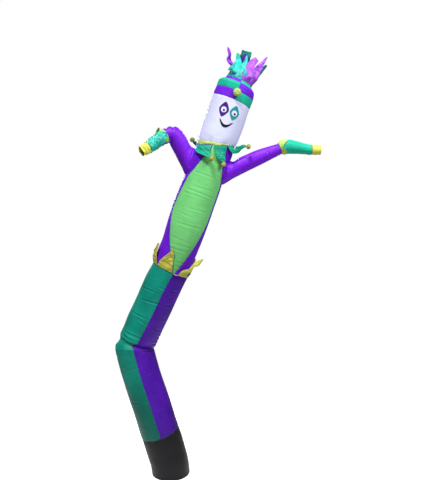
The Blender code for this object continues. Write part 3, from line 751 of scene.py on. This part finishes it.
# THE ELBOW CUFFS. A loose ring of lime cloth with four points, sewn over the seam between the
# sleeve and the forearm at its narrow edge only, so its points stand a little off the forearm.
cuff_lime = nylon("cuff_lime_nylon", (0.440, 0.600, 0.130), crinkle=0.8, fade=0.25)
cuff_points = 4
cuff_reach = 0.060
cuff_band = {"left": 0.007, "right": 0.030}
cuff_taper = {"left": 1.9, "right": 1.15}
cuff_stands = {"left": 0.030, "right": 0.0}  # how far one point stands off the left elbow
for side, arm in arms.items():
    turn = np.linspace(-180, 180, 161)
    share = np.linspace(0, 1, 15)[:, None]
    saw = 1 - np.abs((turn / 360 * cuff_points) % 1.0 - 0.5) * 2
    sewn = arm.at["sleeve_end"] + 0.006
    s = sewn + share * (cuff_band[side] + cuff_reach * saw[None, :] ** cuff_taper[side])
    turns = np.repeat(turn[None, :], len(share), 0)
    ruffle = 0.0050 * drift(turns / 360 * 18, share * 2.5, 18, 81)
    stood_up = cuff_stands[side] * np.clip(1 - ((turns - 100) / 45) ** 2, 0, 1)
    lift = 0.0056 + 0.007 * share + (ruffle + stood_up) * share
    cut = np.stack([turns / 360 * 0.55, s, np.minimum(s - sewn, 0.05)], -1)
    lay(
        f"elbow_cuff_{side}_cloth", arm.skin(s, turns, lift), cut, cuff_lime,
        f"elbow_cuff_{side}",
        0.0012,
    )


# THE TORSO. Two purple sides carry the sleeves, and between them lies a leaf-shaped front panel of
# light green, pointed at the belt and under the collar. Its long curved seams are eased in, so
# they pucker, and level creases cross the belly.
# The torso sides are a darker copy of the sleeves' purple: painted shade on sides turned from the
# light.
torso_purple = nylon("torso_purple_nylon", (0.125, 0.008, 0.540), crinkle=0.7)
# The belly is darkened towards the waist as painted shade.
belly_green = nylon("belly_green_nylon", (0.165, 0.580, 0.185), painted_shade=(2.70, 3.60, 0.42))
# The belly panel's edges: share of the height from waist to collar, left turn and right turn.
belly_edges = [
    (0.00, 12.0, 17.0),
    (0.05, 5.0, 25.0),
    (0.15, -15.0, 41.0),
    (0.25, -36.0, 53.0),
    (0.36, -53.0, 63.0),
    (0.46, -65.0, 72.0),
    (0.58, -59.0, 72.0),
    (0.70, -50.0, 71.0),
    (0.79, -34.0, 60.0),
    (0.87, -22.0, 42.0),
    (1.00, -6.0, -1.0),
]
torso_creases = [
    ("waist", 0.050, 30, 60, 0.02, 0.00176, 0.009),
    ("waist", 0.155, 35, 50, 0.04, 0.00220, 0.010),
    ("belly_low", 0.024, -5, 45, 0.01, 0.00264, 0.011),
    ("belly_low", 0.085, 10, 55, 0.03, 0.00176, 0.010),
    ("belly_low", 0.150, 0, 45, -0.02, 0.00176, 0.010),
    ("belly_mid", 0.020, 10, 60, 0.02, 0.00220, 0.011),
    ("belly_mid", 0.130, -10, 60, -0.02, 0.00132, 0.010),
    ("belly_mid", 0.230, 20, 60, 0.03, 0.00176, 0.010),
    ("chest_low", 0.070, -20, 60, 0.02, 0.00132, 0.010),
    ("chest_low", 0.117, 5, 60, -0.01, 0.00264, 0.011),
    ("chest_low", 0.180, 10, 50, 0.02, 0.00176, 0.010),
    ("chest_high", 0.105, 0, 60, 0.00, 0.00176, 0.010),
    ("shoulder", 0.020, -100, 60, 0.05, 0.00264, 0.011),
    ("shoulder", 0.060, 100, 60, -0.05, 0.00264, 0.011),
    ("belly_mid", 0.050, 180, 70, 0.04, 0.00220, 0.011),
    ("chest_low", 0.150, 170, 70, -0.04, 0.00220, 0.011),
    ("chest_high", 0.060, -170, 70, 0.04, 0.00220, 0.011),
]
torso_relief = creased(torso_creases)
waist = body.at["waist"]
waist_draw = 0.022  # how far the left side is drawn in above the waist


def torso_lie(s, turn):
    """How far the torso's cloth stands off: creases, gathers, and puckers round the sleeves."""
    lift = torso_relief(s, turn) + gathers(s, turn, waist, 31)
    lift += gathers(s, turn, body.at["collar_seam"], 33, 0.0035)
    slim = np.exp(-(((s - waist - 0.34) / 0.20) ** 2))
    lift -= waist_draw * slim * np.clip(np.cos(np.radians(turn + 95)), 0, 1)
    points = body.skin(s, turn).reshape(-1, 3)
    for arm in arms.values():
        gap, off = outside(arm, points, "inside", "arm_mid")
        near = np.exp(-np.abs(gap) / 0.035) * (off < 0.02)
        wave = drift(turn / 360 * 40, s / 0.03, 40, 91)
        lift += near.reshape(s.shape) * (0.004 * wave - 0.004)
    return lift


torso_rows = rows_between("waist", "collar_seam")
up = (torso_rows - waist) / (body.at["collar_seam"] - waist)
belly_flow = Flow([row[0] for row in belly_edges], [row[1:] for row in belly_edges])
belly_left, belly_right = belly_flow.read(up).T
wrap_panel(
    "belly_cloth", torso_rows, belly_left, belly_right, belly_green, "belly_panel",
    40, torso_lie,
)
torso_sides = {
    side: wrap_panel(
        f"torso_side_{side}", torso_rows, left, right, torso_purple, f"torso_{side}",
        40, torso_lie,
    )
    for side, left, right in (
        ("left", back_seam - 360, belly_left), ("right", belly_right, back_seam),
    )
}
sew_rows(
    "torso_stitches", ["belly_cloth", "torso_side_left", "torso_side_right"], violet_thread,
)
arm_hole_depth = 0.012  # the torso's cloth is cut out where it lies this deep inside a sleeve
for side, panel in torso_sides.items():
    centres = np.array([face.center for face in panel.data.polygons])
    gap, off = outside(arms[side], centres, "inside", "arm_mid")
    cut_out = np.flatnonzero((gap < -arm_hole_depth) & (off < 0.01))
    loose = bmesh.new()
    loose.from_mesh(panel.data)
    loose.faces.ensure_lookup_table()
    bmesh.ops.delete(loose, geom=[loose.faces[i] for i in cut_out], context="FACES")
    loose.to_mesh(panel.data)
    loose.free()


# THE HEAD. A narrow pale lime band joins it to the torso. It is a white tube of two halves, sewn
# down both sides, with the face sewn on the front.
white = nylon("head_white_nylon", (0.660, 0.690, 0.930), crinkle=0.3, fade=0.03)
neck_lime = nylon("neck_band_nylon", (0.760, 0.900, 0.250))
neck_radius = 0.234
neck_rows = np.linspace(body.at["collar_seam"] + seam_gap, body.at["neck_top"] - seam_gap, 9)
neck_turns = np.linspace(back_seam - 360, back_seam, 241)
neck_s, neck_turn = np.meshgrid(neck_rows, neck_turns, indexing="ij")
neck_lift = gathers(neck_s, neck_turn, body.at["collar_seam"], 33, 0.003) + 0.003 * drift(
    neck_turn / 360 * 30, neck_s / 0.02, 30, 95
)
lay(
    "neck_band_cloth", body.skin(neck_s, neck_turn, neck_lift),
    np.stack([np.radians(neck_turn) * neck_radius, neck_s, neck_s * 0 + 0.02], -1),
    neck_lime, "neck_band",
    thick=0.0015,
)


def head_lie(s, turn):
    lower = gathers(s, turn, body.at["neck_top"], 96, 0.0040, 0.05, 44)
    return lower + gathers(s, turn, body.at["hat_hem"], 97, 0.0022, 0.03, 52)


head_rows = rows_between("neck_top", "hat_hem")
head_seam = 95.0  # how far round from the front its two halves meet
for half, left, right in (
    ("front", -head_seam, head_seam), ("back", head_seam, 360 - head_seam),
):
    wrap_panel(
        f"head_{half}_cloth", head_rows, left, right, white, f"head_{half}", 50,
        head_lie,
    )
white_thread = thread("white_thread", (0.62, 0.62, 0.74))
sew_rows("head_stitches", ["head_front_cloth", "head_back_cloth"], white_thread)


# THE FACE. A plain harlequin face of thin patches, sewn on the head's front with a raised edge of
# thread: a purple and a teal lozenge behind two round white eyes, and a crescent mouth.
face_black = nylon("face_black_nylon", (0.008, 0.006, 0.020), 0.5, crinkle=0.3)
face_white = nylon("face_white_nylon", (0.700, 0.700, 0.880), crinkle=0.2, fade=0.02)
face_purple = nylon("face_purple_nylon", (0.060, 0.010, 0.230), crinkle=0.3)
face_teal = nylon("face_teal_nylon", (0.006, 0.280, 0.310), crinkle=0.3)
face_middle = body.at["face_mid"] + 0.006
face_turn = 6.0  # how far the face is turned from the front
head_radius = 0.2435


def sew_patch(name, shape, across, up, layer, cloth, rim=0.0035):
    """A patch on the head. Shape is its closed outline and the line that the outline shrinks to."""
    outline, spine = shape
    size = float(np.linalg.norm(outline - spine, axis=1).max())
    rings = np.concatenate([np.linspace(0, 1 - 2 * rim / size, 9), [1 - rim / size, 1, 1]])
    raised = np.concatenate([np.zeros(9), [0.0010, 0.0004, -min(0.0040, 0.08 * size)]])
    spots = spine + (outline - spine) * rings[:, None, None] + np.array([across, up])
    turn = face_turn + np.degrees(spots[..., 0] / head_radius)
    s = face_middle + spots[..., 1]
    lift = slack(s, turn, 50) + head_lie(s, turn) + 0.0014 * layer + raised[:, None]
    points = body.skin(s, turn, lift)
    edge = 0.02 - 0.0185 * (raised != 0)[:, None] * np.ones_like(s)
    cut = np.stack([spots[..., 0], spots[..., 1], edge], -1)
    lay(name, points, cut, cloth, None)


around = np.linspace(0, 2 * np.pi, 73)
lozenge_power = 1.35  # 1 makes a straight diamond, 2 a round one


def lozenge(wide, high):
    """A diamond with slightly bowed sides."""
    c, s = np.cos(around), np.sin(around)
    reach = (np.abs(c) ** lozenge_power + np.abs(s) ** lozenge_power) ** (-1 / lozenge_power)
    return np.stack([wide * c * reach, high * s * reach], -1), np.zeros((1, 2))


def round_patch(radius):
    return np.stack([radius * np.cos(around), radius * np.sin(around)], -1), np.zeros((1, 2))


def crescent(wide, sag, thick):
    """A smile: its upper line sags by sag, and its lower line by thick more."""
    x = np.concatenate([np.linspace(-1, 1, 37), np.linspace(1, -1, 37)])
    low = np.concatenate([np.full(37, sag + thick), np.full(37, sag)])
    outline = np.stack([wide * x, -low * (1 - x**2)], -1)
    inner = 0.82 * x
    spine = np.stack([wide * inner, -(sag + thick / 2) * (1 - inner**2)], -1)
    shift = np.array([0.0, (sag + thick) / 2])
    return outline + shift, spine + shift


for side, across, cloth, slot in (
    ("left", -0.068, face_purple, "leg_purple"), ("right", 0.068, face_teal, "teal"),
):
    back, eyeball, dot = (f"face_eye_{side}_{layer}" for layer in ("lozenge", "white", "dot"))
    sew_patch(back, lozenge(0.062, 0.090), across, 0.045, 1, cloth)
    sew_patch(eyeball, round_patch(0.035), across, 0.040, 2, face_white)
    sew_patch(
        dot, round_patch(0.013), across + 0.004, 0.034, 3, face_black, 0.002
    )
sew_patch("face_mouth", crescent(0.088, 0.026, 0.054), 0.004, -0.105, 1, face_black)
sew_patch(
    "face_mouth_teeth", crescent(0.064, 0.014, 0.024), 0.004, -0.096, 2, face_white,
    0.0025,
)


# THE CAP. Three rows of checks, purple and teal changing places at the front seam, drawn in at
# the top to an open mouth. The rows are sewn to each other, and the mouth is left open.
cap_purple = nylon("cap_purple_nylon", (0.160, 0.014, 0.680), crinkle=0.7)
cap_front = 10.0
cap_checks = [
    ("low", "hat_hem", "hat_row", cap_purple, "cap_purple", teal, "teal"),
    ("middle", "hat_row", "hat_dome", teal, "teal", cap_purple, "cap_purple"),
    ("top", "hat_dome", "hair_seam", cap_purple, "cap_purple", teal, "teal"),
]


def cap_lie(s, turn):
    lift = np.zeros_like(s)
    for k, seam in enumerate(("hat_hem", "hat_row", "hat_dome", "hair_seam")):
        lift += gathers(s, turn, body.at[seam], 97 + k, 0.0035, 0.028, 46)
    return lift


for level, first, last, left_cloth, left_slot, right_cloth, right_slot in cap_checks:
    rows = rows_between(first, last, 0.005)
    for side, left, right, cloth, slot in (
        ("left", back_seam - 360, cap_front, left_cloth, left_slot),
        ("right", cap_front, back_seam, right_cloth, right_slot),
    ):
        wrap_panel(
            f"cap_{level}_{side}", rows, left, right, cloth,
            f"hat_{level}_{side}", 55, cap_lie,
        )
cap_pieces = [f"cap_{row[0]}_{side}" for row in cap_checks for side in ("left", "right")]
sew_rows("cap_stitches", cap_pieces, violet_thread)


# THE BALLS. The ball on the cap is lime nylon and the bells on the collar are gold. Each is
# gathered over soft stuffing and drawn shut at one pole, so its sides are pleated.
def stuff_ball(name, middle, axis, radius, press, pleats, cloth, node, seed):
    """A ball drawn shut at the pole that its axis points to, and pressed flat along that axis."""
    axis = unit(np.asarray(axis, float))
    side = unit(np.cross(axis, [0.0, 0.0, 1.0] if abs(axis[2]) < 0.9 else [1.0, 0.0, 0.0]))
    other = np.cross(axis, side)
    down, round_it = np.meshgrid(
        np.linspace(0.02, np.pi - 0.02, 26), np.linspace(0, 2 * np.pi, 49), indexing="ij"
    )
    pleat = 0.060 * np.cos(pleats * round_it) * np.sin(down) ** 0.5
    lumps = 0.05 * drift(round_it / (2 * np.pi) * 6, down * 1.6, 6, seed)
    drawn = -0.16 * np.exp(-((down / 0.34) ** 2)) - 0.10 * np.exp(-(((np.pi - down) / 0.3) ** 2))
    size = radius * (1 + pleat + lumps + drawn)
    points = np.asarray(middle) + (
        axis * (np.cos(down) * size * press)[..., None]
        + side * (np.sin(down) * np.cos(round_it) * size)[..., None]
        + other * (np.sin(down) * np.sin(round_it) * size)[..., None]
    )
    cut = np.stack([round_it * radius, down * radius, down * 0 + 0.02], -1)
    ball = lay(name, points, cut, cloth, node)


cap_ball_lime = nylon("cap_ball_nylon", (0.440, 0.600, 0.150), crinkle=0.8, fade=0.30)
cap_ball_radius = 0.047
cap_ball_place, cap_ball_turn = body.at["hat_row"] - 0.026, 8.0
cap_ball_out = body.out(cap_ball_place, cap_ball_turn)
stuff_ball(
    "cap_ball",
    body.skin(cap_ball_place, cap_ball_turn, 0.002) + cap_ball_out * cap_ball_radius * 0.5,
    cap_ball_out, cap_ball_radius, press=0.55, pleats=11, cloth=cap_ball_lime,
    node="hat_ball", seed=101,
)


# THE COLLAR. Six points of teal nylon sewn in under the neck band, each with a bell at its tip. Two
# lie on the chest, almost edge to edge, two down the back, and the side ones flutter off.
collar_teal = nylon("collar_teal_nylon", (0.010, 0.340, 0.215), crinkle=0.8, fade=0.22)
strip_thick = 0.0010
strip_seat_radius = 0.24  # of the body where the strips lie, for their width in metres


def crumpled(across, along, seed, deep, sharp=1.0):
    """Soft folds that run down a strip of limp cloth, crossed by a few sharp creases."""
    folds = drift(across * 3.2, along * 3.5, 11, seed)
    small = drift(across * 7.0 + along * 1.5, along * 9.0, 17, seed + 1)
    crease = 1 - np.abs(drift(across * 2.4 - along * 2.0, along * 8.0, 13, seed + 2))
    return deep * (folds + sharp * (0.30 * small + 0.7 * crease**6))


def seed_of(name):
    """A number of its own for each strip, so that no two are crumpled alike."""
    return sum(ord(letter) * (k + 1) for k, letter in enumerate(name)) % 997


def lying_strip(name, s, stations, deep, cloth, node):
    """A point of cloth that lies on the body: along, middle turn, width in degrees and lift.
    Gives where its tip is and which way that heads."""
    table = np.array(stations, float)
    flow = Flow(np.abs(table[:, 0]), table[:, 1:])
    rows, columns = 64, 26
    share = np.linspace(0, 1, rows + 1)[:, None]
    across = np.linspace(-0.5, 0.5, columns + 1)[None, :]
    length = abs(table[-1, 0])
    turn, width, lift = np.moveaxis(flow.read(share[:, 0] * length), -1, 0)
    turns = turn[:, None] + width[:, None] * across
    up = np.sign(table[-1, 0])
    seed = seed_of(name)
    tear = 0.006 * drift(across[0] * 9, 0.5, 9, seed + 5)[None, :]
    ragged = tear * np.clip(width / 30, 0, 1)[:, None]
    place = s + up * share * length + ragged * share
    loose = np.clip(share * 4, 0.15, 1)
    wavy = crumpled(across + 0.5, share, seed, deep)
    edge = np.abs(across) * 2
    curl = 0.006 * edge**4 * np.clip(share * 3, 0, 1) * drift(share * 4, 0.5, 5, seed + 3)
    lifts = lift[:, None] + np.maximum(wavy + curl, -0.55 * lift[:, None]) * loose
    points = body.skin(place, turns, lifts)
    wide = np.radians(width) * strip_seat_radius
    cut = np.stack(
        np.broadcast_arrays(across * wide.max(), share * length, 0.02 + 0 * across), -1
    )
    lay(name, points, cut, cloth, node, strip_thick)
    middle = points[:, columns // 2]
    heading = middle[-1] - middle[-4]
    return middle[-1], unit(heading)


def flying_strip(
    name, s, turns, seat, stations, deep, cloth, node, ragged=0.010, sharp=1.0
):
    """A strip of cloth in the air: places in metres, width, and the way that it faces. Gives
    where its tip is and which way that heads."""
    rows, columns = 84, 26
    middle_turn = sum(turns) / 2
    root = body.skin(s, middle_turn, seat)
    straight_out = body.out(s, middle_turn)
    side = unit(np.cross(body.ring(np.array(s))[3], straight_out))
    across = np.linspace(0, 1, columns + 1)
    arc = body.skin(s, turns[0] + (turns[1] - turns[0]) * across, seat) - root
    chord = float(np.linalg.norm(arc[-1] - arc[0]))
    table = np.array([[*root, chord, middle_turn], *stations], float)
    at = lengths_along(table[:, :3])
    share = np.linspace(0, 1, rows + 1)
    values = Flow(at, table).read(share * at[-1])
    spine, width, facing = values[:, :3], values[:, 3], np.radians(values[:, 4])
    heads = unit(np.gradient(spine, axis=0))
    seed = seed_of(name)
    points = np.zeros((rows + 1, columns + 1, 3))
    for i in range(rows + 1):
        look = np.array([np.sin(facing[i]), -np.cos(facing[i]), 0.0])
        free = min(1.0, 5 * share[i])
        sideways = unit(side * (1 - free) + unit(np.cross(heads[i], look)) * free)
        normal = unit(straight_out * (1 - free) + np.cross(sideways, heads[i]) * free)
        slim = width[i] / chord
        loose = min(1.0, share[i] * 4.0)
        fold = crumpled(across * 0.7, share[i] * at[-1] / 0.36, seed, deep, sharp)
        fold = fold * (0.4 + 0.6 * slim)
        tear = ragged * drift(across * 6, 0.5, 6, seed + 5) * min(1.0, 3 * slim)
        points[i] = (
            spine[i]
            + sideways * ((arc @ side) * slim)[:, None]
            + normal * ((arc @ straight_out) * slim + fold * loose)[:, None]
            + heads[i] * (tear * share[i] ** 3)[:, None]
        )
    cut = np.stack(
        np.broadcast_arrays(across[None, :] * chord, share[:, None] * at[-1], 0.02), -1
    )
    lay(name, points, cut, cloth, node, strip_thick)
    return points[-1].mean(0), heads[-1]


bell_radius = 0.031
collar_sewn = body.at["collar_seam"] - 0.006
collar_on_skin = {
    "front_left": [
        (0, -37.5, 57, 0.004), (-0.05, -36, 54, 0.014), (-0.09, -32, 50, 0.022),
        (-0.13, -23, 42, 0.034), (-0.155, -11, 24, 0.046), (-0.172, -1.5, 7, 0.054),
    ],
    "front_right": [
        (0, 16.5, 40, 0.004), (-0.05, 19, 36, 0.012), (-0.09, 22, 31, 0.016),
        (-0.14, 27, 25, 0.028), (-0.185, 35, 5, 0.038),
    ],
    "back_right": [
        (0, 147.5, 48, 0.004), (-0.08, 147.5, 32, 0.014), (-0.13, 149, 17, 0.026),
        (-0.172, 150.5, 5, 0.038),
    ],
    "back_left": [
        (0, 212.5, 48, 0.004), (-0.08, 212.5, 32, 0.014), (-0.13, 211, 17, 0.026),
        (-0.172, 209.5, 5, 0.038),
    ],
}
collar_in_air = {
    "right": ((39, 86), [
        (0.785, -0.135, 4.040, 0.110, 45), (0.822, -0.145, 4.030, 0.088, 25),
        (0.866, -0.150, 4.052, 0.052, 10), (0.905, -0.155, 4.070, 0.040, 0),
        (0.937, -0.160, 4.066, 0.016, 0),
    ]),
    "left": ((248, 292), [
        (0.315, 0.010, 4.125, 0.070, 275), (0.290, 0.030, 4.150, 0.035, 300),
        (0.284, 0.055, 4.165, 0.014, 300),
    ]),
}
tips = {}
for point, stations in collar_on_skin.items():
    tips[point] = lying_strip(
        f"collar_{point}_cloth", collar_sewn, stations, 0.009, collar_teal,
        f"collar_{point}",
    )
for point, (turns, stations) in collar_in_air.items():
    tips[point] = flying_strip(
        f"collar_{point}_cloth", collar_sewn, turns, 0.004, stations, 0.007, collar_teal,
        f"collar_{point}", 0.004,
    )
bell_gold = nylon("bell_gold_nylon", (0.430, 0.390, 0.050), crinkle=0.8, fade=0.45)
for point, (tip_end, heading) in tips.items():
    stuff_ball(
        f"collar_bell_{point}", tip_end + heading * bell_radius * 0.80, heading, bell_radius,
        press=0.85, pleats=9, cloth=bell_gold, node=f"bell_{point}", seed=110,
    )


# THE BELT. Six limp gold points of thinner cloth, sewn into the waist seam. They stand up against
# the belly, crumpled where they are gathered in, and one has folded over and flies off sideways.
belt_gold = nylon("belt_gold_nylon", (0.430, 0.420, 0.070), crinkle=1.2, fade=0.40)
belt_sewn = body.at["waist"] + 0.006
belt_on_skin = {
    "left": [
        (0, -69, 56, 0.006), (0.06, -72, 47, 0.020), (0.12, -71, 36, 0.022),
        (0.19, -65, 20, 0.026), (0.265, -56, 4, 0.034),
    ],
    "middle": [
        (0, -15.5, 50, 0.006), (0.06, -15, 42, 0.016), (0.13, -13, 30, 0.016),
        (0.20, -9, 16, 0.026), (0.275, -6, 3, 0.036),
    ],
    "back_right": [
        (0, 109, 52, 0.006), (0.06, 109, 40, 0.016), (0.14, 111, 22, 0.018), (0.22, 113, 4, 0.028),
    ],
    "back": [
        (0, 169, 55, 0.006), (0.06, 169, 43, 0.016), (0.14, 167, 25, 0.018), (0.24, 165, 4, 0.028),
    ],
    "back_left": [
        (0, 229, 55, 0.006), (0.06, 229, 42, 0.016), (0.14, 231, 23, 0.018), (0.22, 233, 4, 0.028),
    ],
}
for point, stations in belt_on_skin.items():
    lying_strip(
        f"belt_{point}_cloth", belt_sewn, stations, 0.013, belt_gold, f"belt_{point}",
    )
flying_strip(
    "belt_right_cloth", belt_sewn, (13, 76), 0.006,
    [
        (0.200, -0.238, 2.552, 0.085, 38), (0.262, -0.240, 2.584, 0.050, 25),
        (0.300, -0.235, 2.638, 0.032, 10), (0.345, -0.225, 2.668, 0.066, -20),
        (0.395, -0.205, 2.700, 0.034, 20), (0.420, -0.190, 2.716, 0.006, 20),
    ],
    0.010, belt_gold, "belt_right",
)


# THE HAIR. Nine strips of teal and violet sewn round the cap's open mouth, blown upward by the air
# that leaves there. They are limp and creased, and the ones behind are coloured darker as painted
# shade.
violet = nylon("hair_violet_nylon", (0.350, 0.065, 0.740), 0.38, 0.35, 0.6, 0.55)
hair_teal = nylon("hair_teal_nylon", (0.012, 0.480, 0.410), 0.38, 0.35, 0.6, 0.50)
# Darker copies of the hair's violet and teal: painted shade for the strips behind.
shaded_violet = nylon("hair_violet_inner", (0.110, 0.020, 0.330), 0.45, 0.20, 0.6, 0.40)
shaded_teal = nylon("hair_teal_inner", (0.006, 0.230, 0.205), 0.45, 0.20, 0.6, 0.40)
hair_strips = {
    "front_left": ("teal", (-90, -37), [
        (0.800, -0.140, 4.945, 0.205, -14), (0.828, -0.110, 5.030, 0.145, -5),
        (0.847, -0.065, 5.115, 0.075, 12), (0.838, -0.050, 5.190, 0.042, 30),
    ]),
    "front": ("teal", (-39, 10), [
        (0.880, -0.150, 4.935, 0.120, 0), (0.897, -0.120, 5.010, 0.078, 8),
        (0.930, -0.075, 5.085, 0.044, 25), (0.938, -0.045, 5.165, 0.022, 50),
    ]),
    "front_right": ("violet", (10, 52), [
        (0.944, -0.150, 4.900, 0.132, 8), (0.968, -0.130, 4.965, 0.118, 4),
        (0.990, -0.110, 5.025, 0.100, 4), (1.022, -0.090, 5.075, 0.088, 12),
        (1.072, -0.070, 5.118, 0.058, 25),
    ]),
    "right": ("violet", (51, 94), [
        (1.022, -0.050, 4.885, 0.110, 40), (1.062, -0.050, 4.960, 0.092, 25),
        (1.098, -0.040, 5.030, 0.078, 12), (1.145, -0.020, 5.095, 0.046, 5),
        (1.195, 0.000, 5.160, 0.012, 0),
    ]),
    "far_right": ("teal", (93, 125), [
        (1.050, 0.060, 4.900, 0.070, 85), (1.092, 0.055, 4.965, 0.060, 60),
        (1.125, 0.035, 5.010, 0.056, 25), (1.160, 0.030, 5.045, 0.046, 15),
        (1.195, 0.030, 5.068, 0.020, 60),
    ]),
    "back_right": ("violet", (126, 162), [
        (0.945, 0.110, 4.990, 0.090, 150), (0.930, 0.060, 5.080, 0.082, 175),
        (0.920, 0.030, 5.150, 0.074, 185), (0.945, 0.020, 5.192, 0.050, 190),
    ]),
    "back": ("teal", (163, 207), [
        (0.880, 0.140, 5.000, 0.150, 185), (0.905, 0.100, 5.090, 0.135, 190),
        (0.925, 0.060, 5.170, 0.130, 195), (0.945, 0.040, 5.245, 0.128, 200),
    ]),
    "back_left": ("violet", (209, 239), [
        (0.790, 0.130, 4.980, 0.080, 215), (0.820, 0.100, 5.070, 0.070, 215),
        (0.870, 0.070, 5.150, 0.050, 205), (0.885, 0.060, 5.205, 0.030, 200),
    ]),
    "left": ("violet", (240, 268), [
        (0.738, 0.100, 4.980, 0.062, 250), (0.764, 0.095, 5.085, 0.050, 220),
        (0.727, 0.070, 5.145, 0.060, 195), (0.742, 0.050, 5.200, 0.034, 150),
        (0.727, 0.040, 5.250, 0.044, 200), (0.714, 0.030, 5.290, 0.012, 200),
    ]),
}
behind = ("back_left", "back", "back_right", "far_right")
hair_cloths = {
    ("teal", False): hair_teal, ("teal", True): shaded_teal,
    ("violet", False): violet, ("violet", True): shaded_violet,
}
for lock, (colour, turns, stations) in hair_strips.items():
    flying_strip(
        f"hair_{lock}_cloth", body.at["hair_seam"], turns, -0.001, stations, 0.024,
        hair_cloths[colour, lock in behind], f"hair_{lock}",
        0.006 if lock == "back" else 0.012, 0.28,
    )


# THE STUDIO. A pale round floor that melts into a white room, so the figure can be seen from every
# side: a high soft sun in front, and weaker lights at the right, low down and behind.
floor_radius = 4.0
rim_turns = np.linspace(0, 2 * np.pi, 97)[:-1]
rim = [(floor_radius * np.cos(turn), floor_radius * np.sin(turn), 0.0) for turn in rim_turns]
floor_mesh = bpy.data.meshes.new("studio_floor")
floor_mesh.from_pydata(rim, [], [tuple(range(len(rim)))])
paper, tree, floor_face = new_material("white_floor", (0.9, 0.9, 0.9))
set_sockets(
    tree, floor_face,
    {
        "Base Color": (0.9, 0.9, 0.9, 1), "Roughness": 0.9,
        "Emission Color": (1, 1, 1, 1), "Emission Strength": 0.42,
    },
)
where = add_node(tree, "ShaderNodeTexCoord").outputs["Object"]
off_middle = add_node(tree, "ShaderNodeVectorMath", {0: where}, operation="LENGTH")
melt = ramp(tree, off_middle.outputs["Value"], 0.7, 3.6, kind="SMOOTHSTEP")
clear = add_node(tree, "ShaderNodeBsdfTransparent")
melted = add_node(
    tree, "ShaderNodeMixShader", {"Fac": melt, 1: floor_face.outputs[0], 2: clear.outputs[0]}
)
set_sockets(tree, tree.nodes["Material Output"], {"Surface": melted.outputs[0]})
floor_mesh.materials.append(paper)
put_up("studio_floor", floor_mesh)


def aim_at(thing, place, target):
    thing.location = place
    way = Vector(target) - Vector(place)
    thing.rotation_euler = way.to_track_quat("-Z", "Y").to_euler()


sun = bpy.data.lights.new("sun", "SUN")
sun.energy, sun.angle, sun.color = 4.15, np.radians(9.0), (1.0, 0.99, 0.97)
aim_at(put_up("sun", sun), (0.0, 0.0, 0.0), (0.16, 0.46, -0.87))
for name, place, target, size, watts, tint in (
    ("right", (5.2, -3.6, 7.6), (0.6, 0.0, 3.8), 2.4, 330, (1.0, 0.99, 0.98)),
    ("fill", (2.6, -7.2, 1.9), (0.0, 0.0, 1.8), 3.0, 45, (0.95, 0.96, 1.0)),
    ("behind", (-1.8, 7.0, 5.2), (0.2, 0.0, 2.6), 3.0, 430, (1.0, 1.0, 1.0)),
):
    lamp = bpy.data.lights.new(name, "AREA")
    lamp.shape, lamp.size, lamp.energy, lamp.color = "DISK", size, watts, tint
    aim_at(put_up(name, lamp), place, target)

room = bpy.data.worlds.new("white_room")
room.use_nodes = True
tree = room.node_tree
dim_light = tree.nodes["Background"]
set_sockets(tree, dim_light, {"Color": (1, 1, 1, 1), "Strength": 0.21})
walls = add_node(tree, "ShaderNodeBackground", {"Color": (1, 1, 1, 1)})
seen = add_node(tree, "ShaderNodeLightPath").outputs["Is Camera Ray"]
room_mix = add_node(
    tree, "ShaderNodeMixShader", {"Fac": seen, 1: dim_light.outputs[0], 2: walls.outputs[0]}
)
set_sockets(tree, tree.nodes["World Output"], {"Surface": room_mix.outputs[0]})
bpy.context.scene.world = room
bpy.context.scene.view_settings.view_transform = "Standard"

metres_per_pixel, photo_height = 0.01235, 480
eye, target = Vector((0.6145, -6.6, 3.3)), Vector((0.6145, 0.0, 2.9393))
lens = bpy.data.cameras.new("camera")
lens.sensor_width = 36.0
lens.lens = lens.sensor_width * (target - eye).length / metres_per_pixel / photo_height
camera = put_up("camera", lens)
aim_at(camera, eye, target)
bpy.context.scene.camera = camera
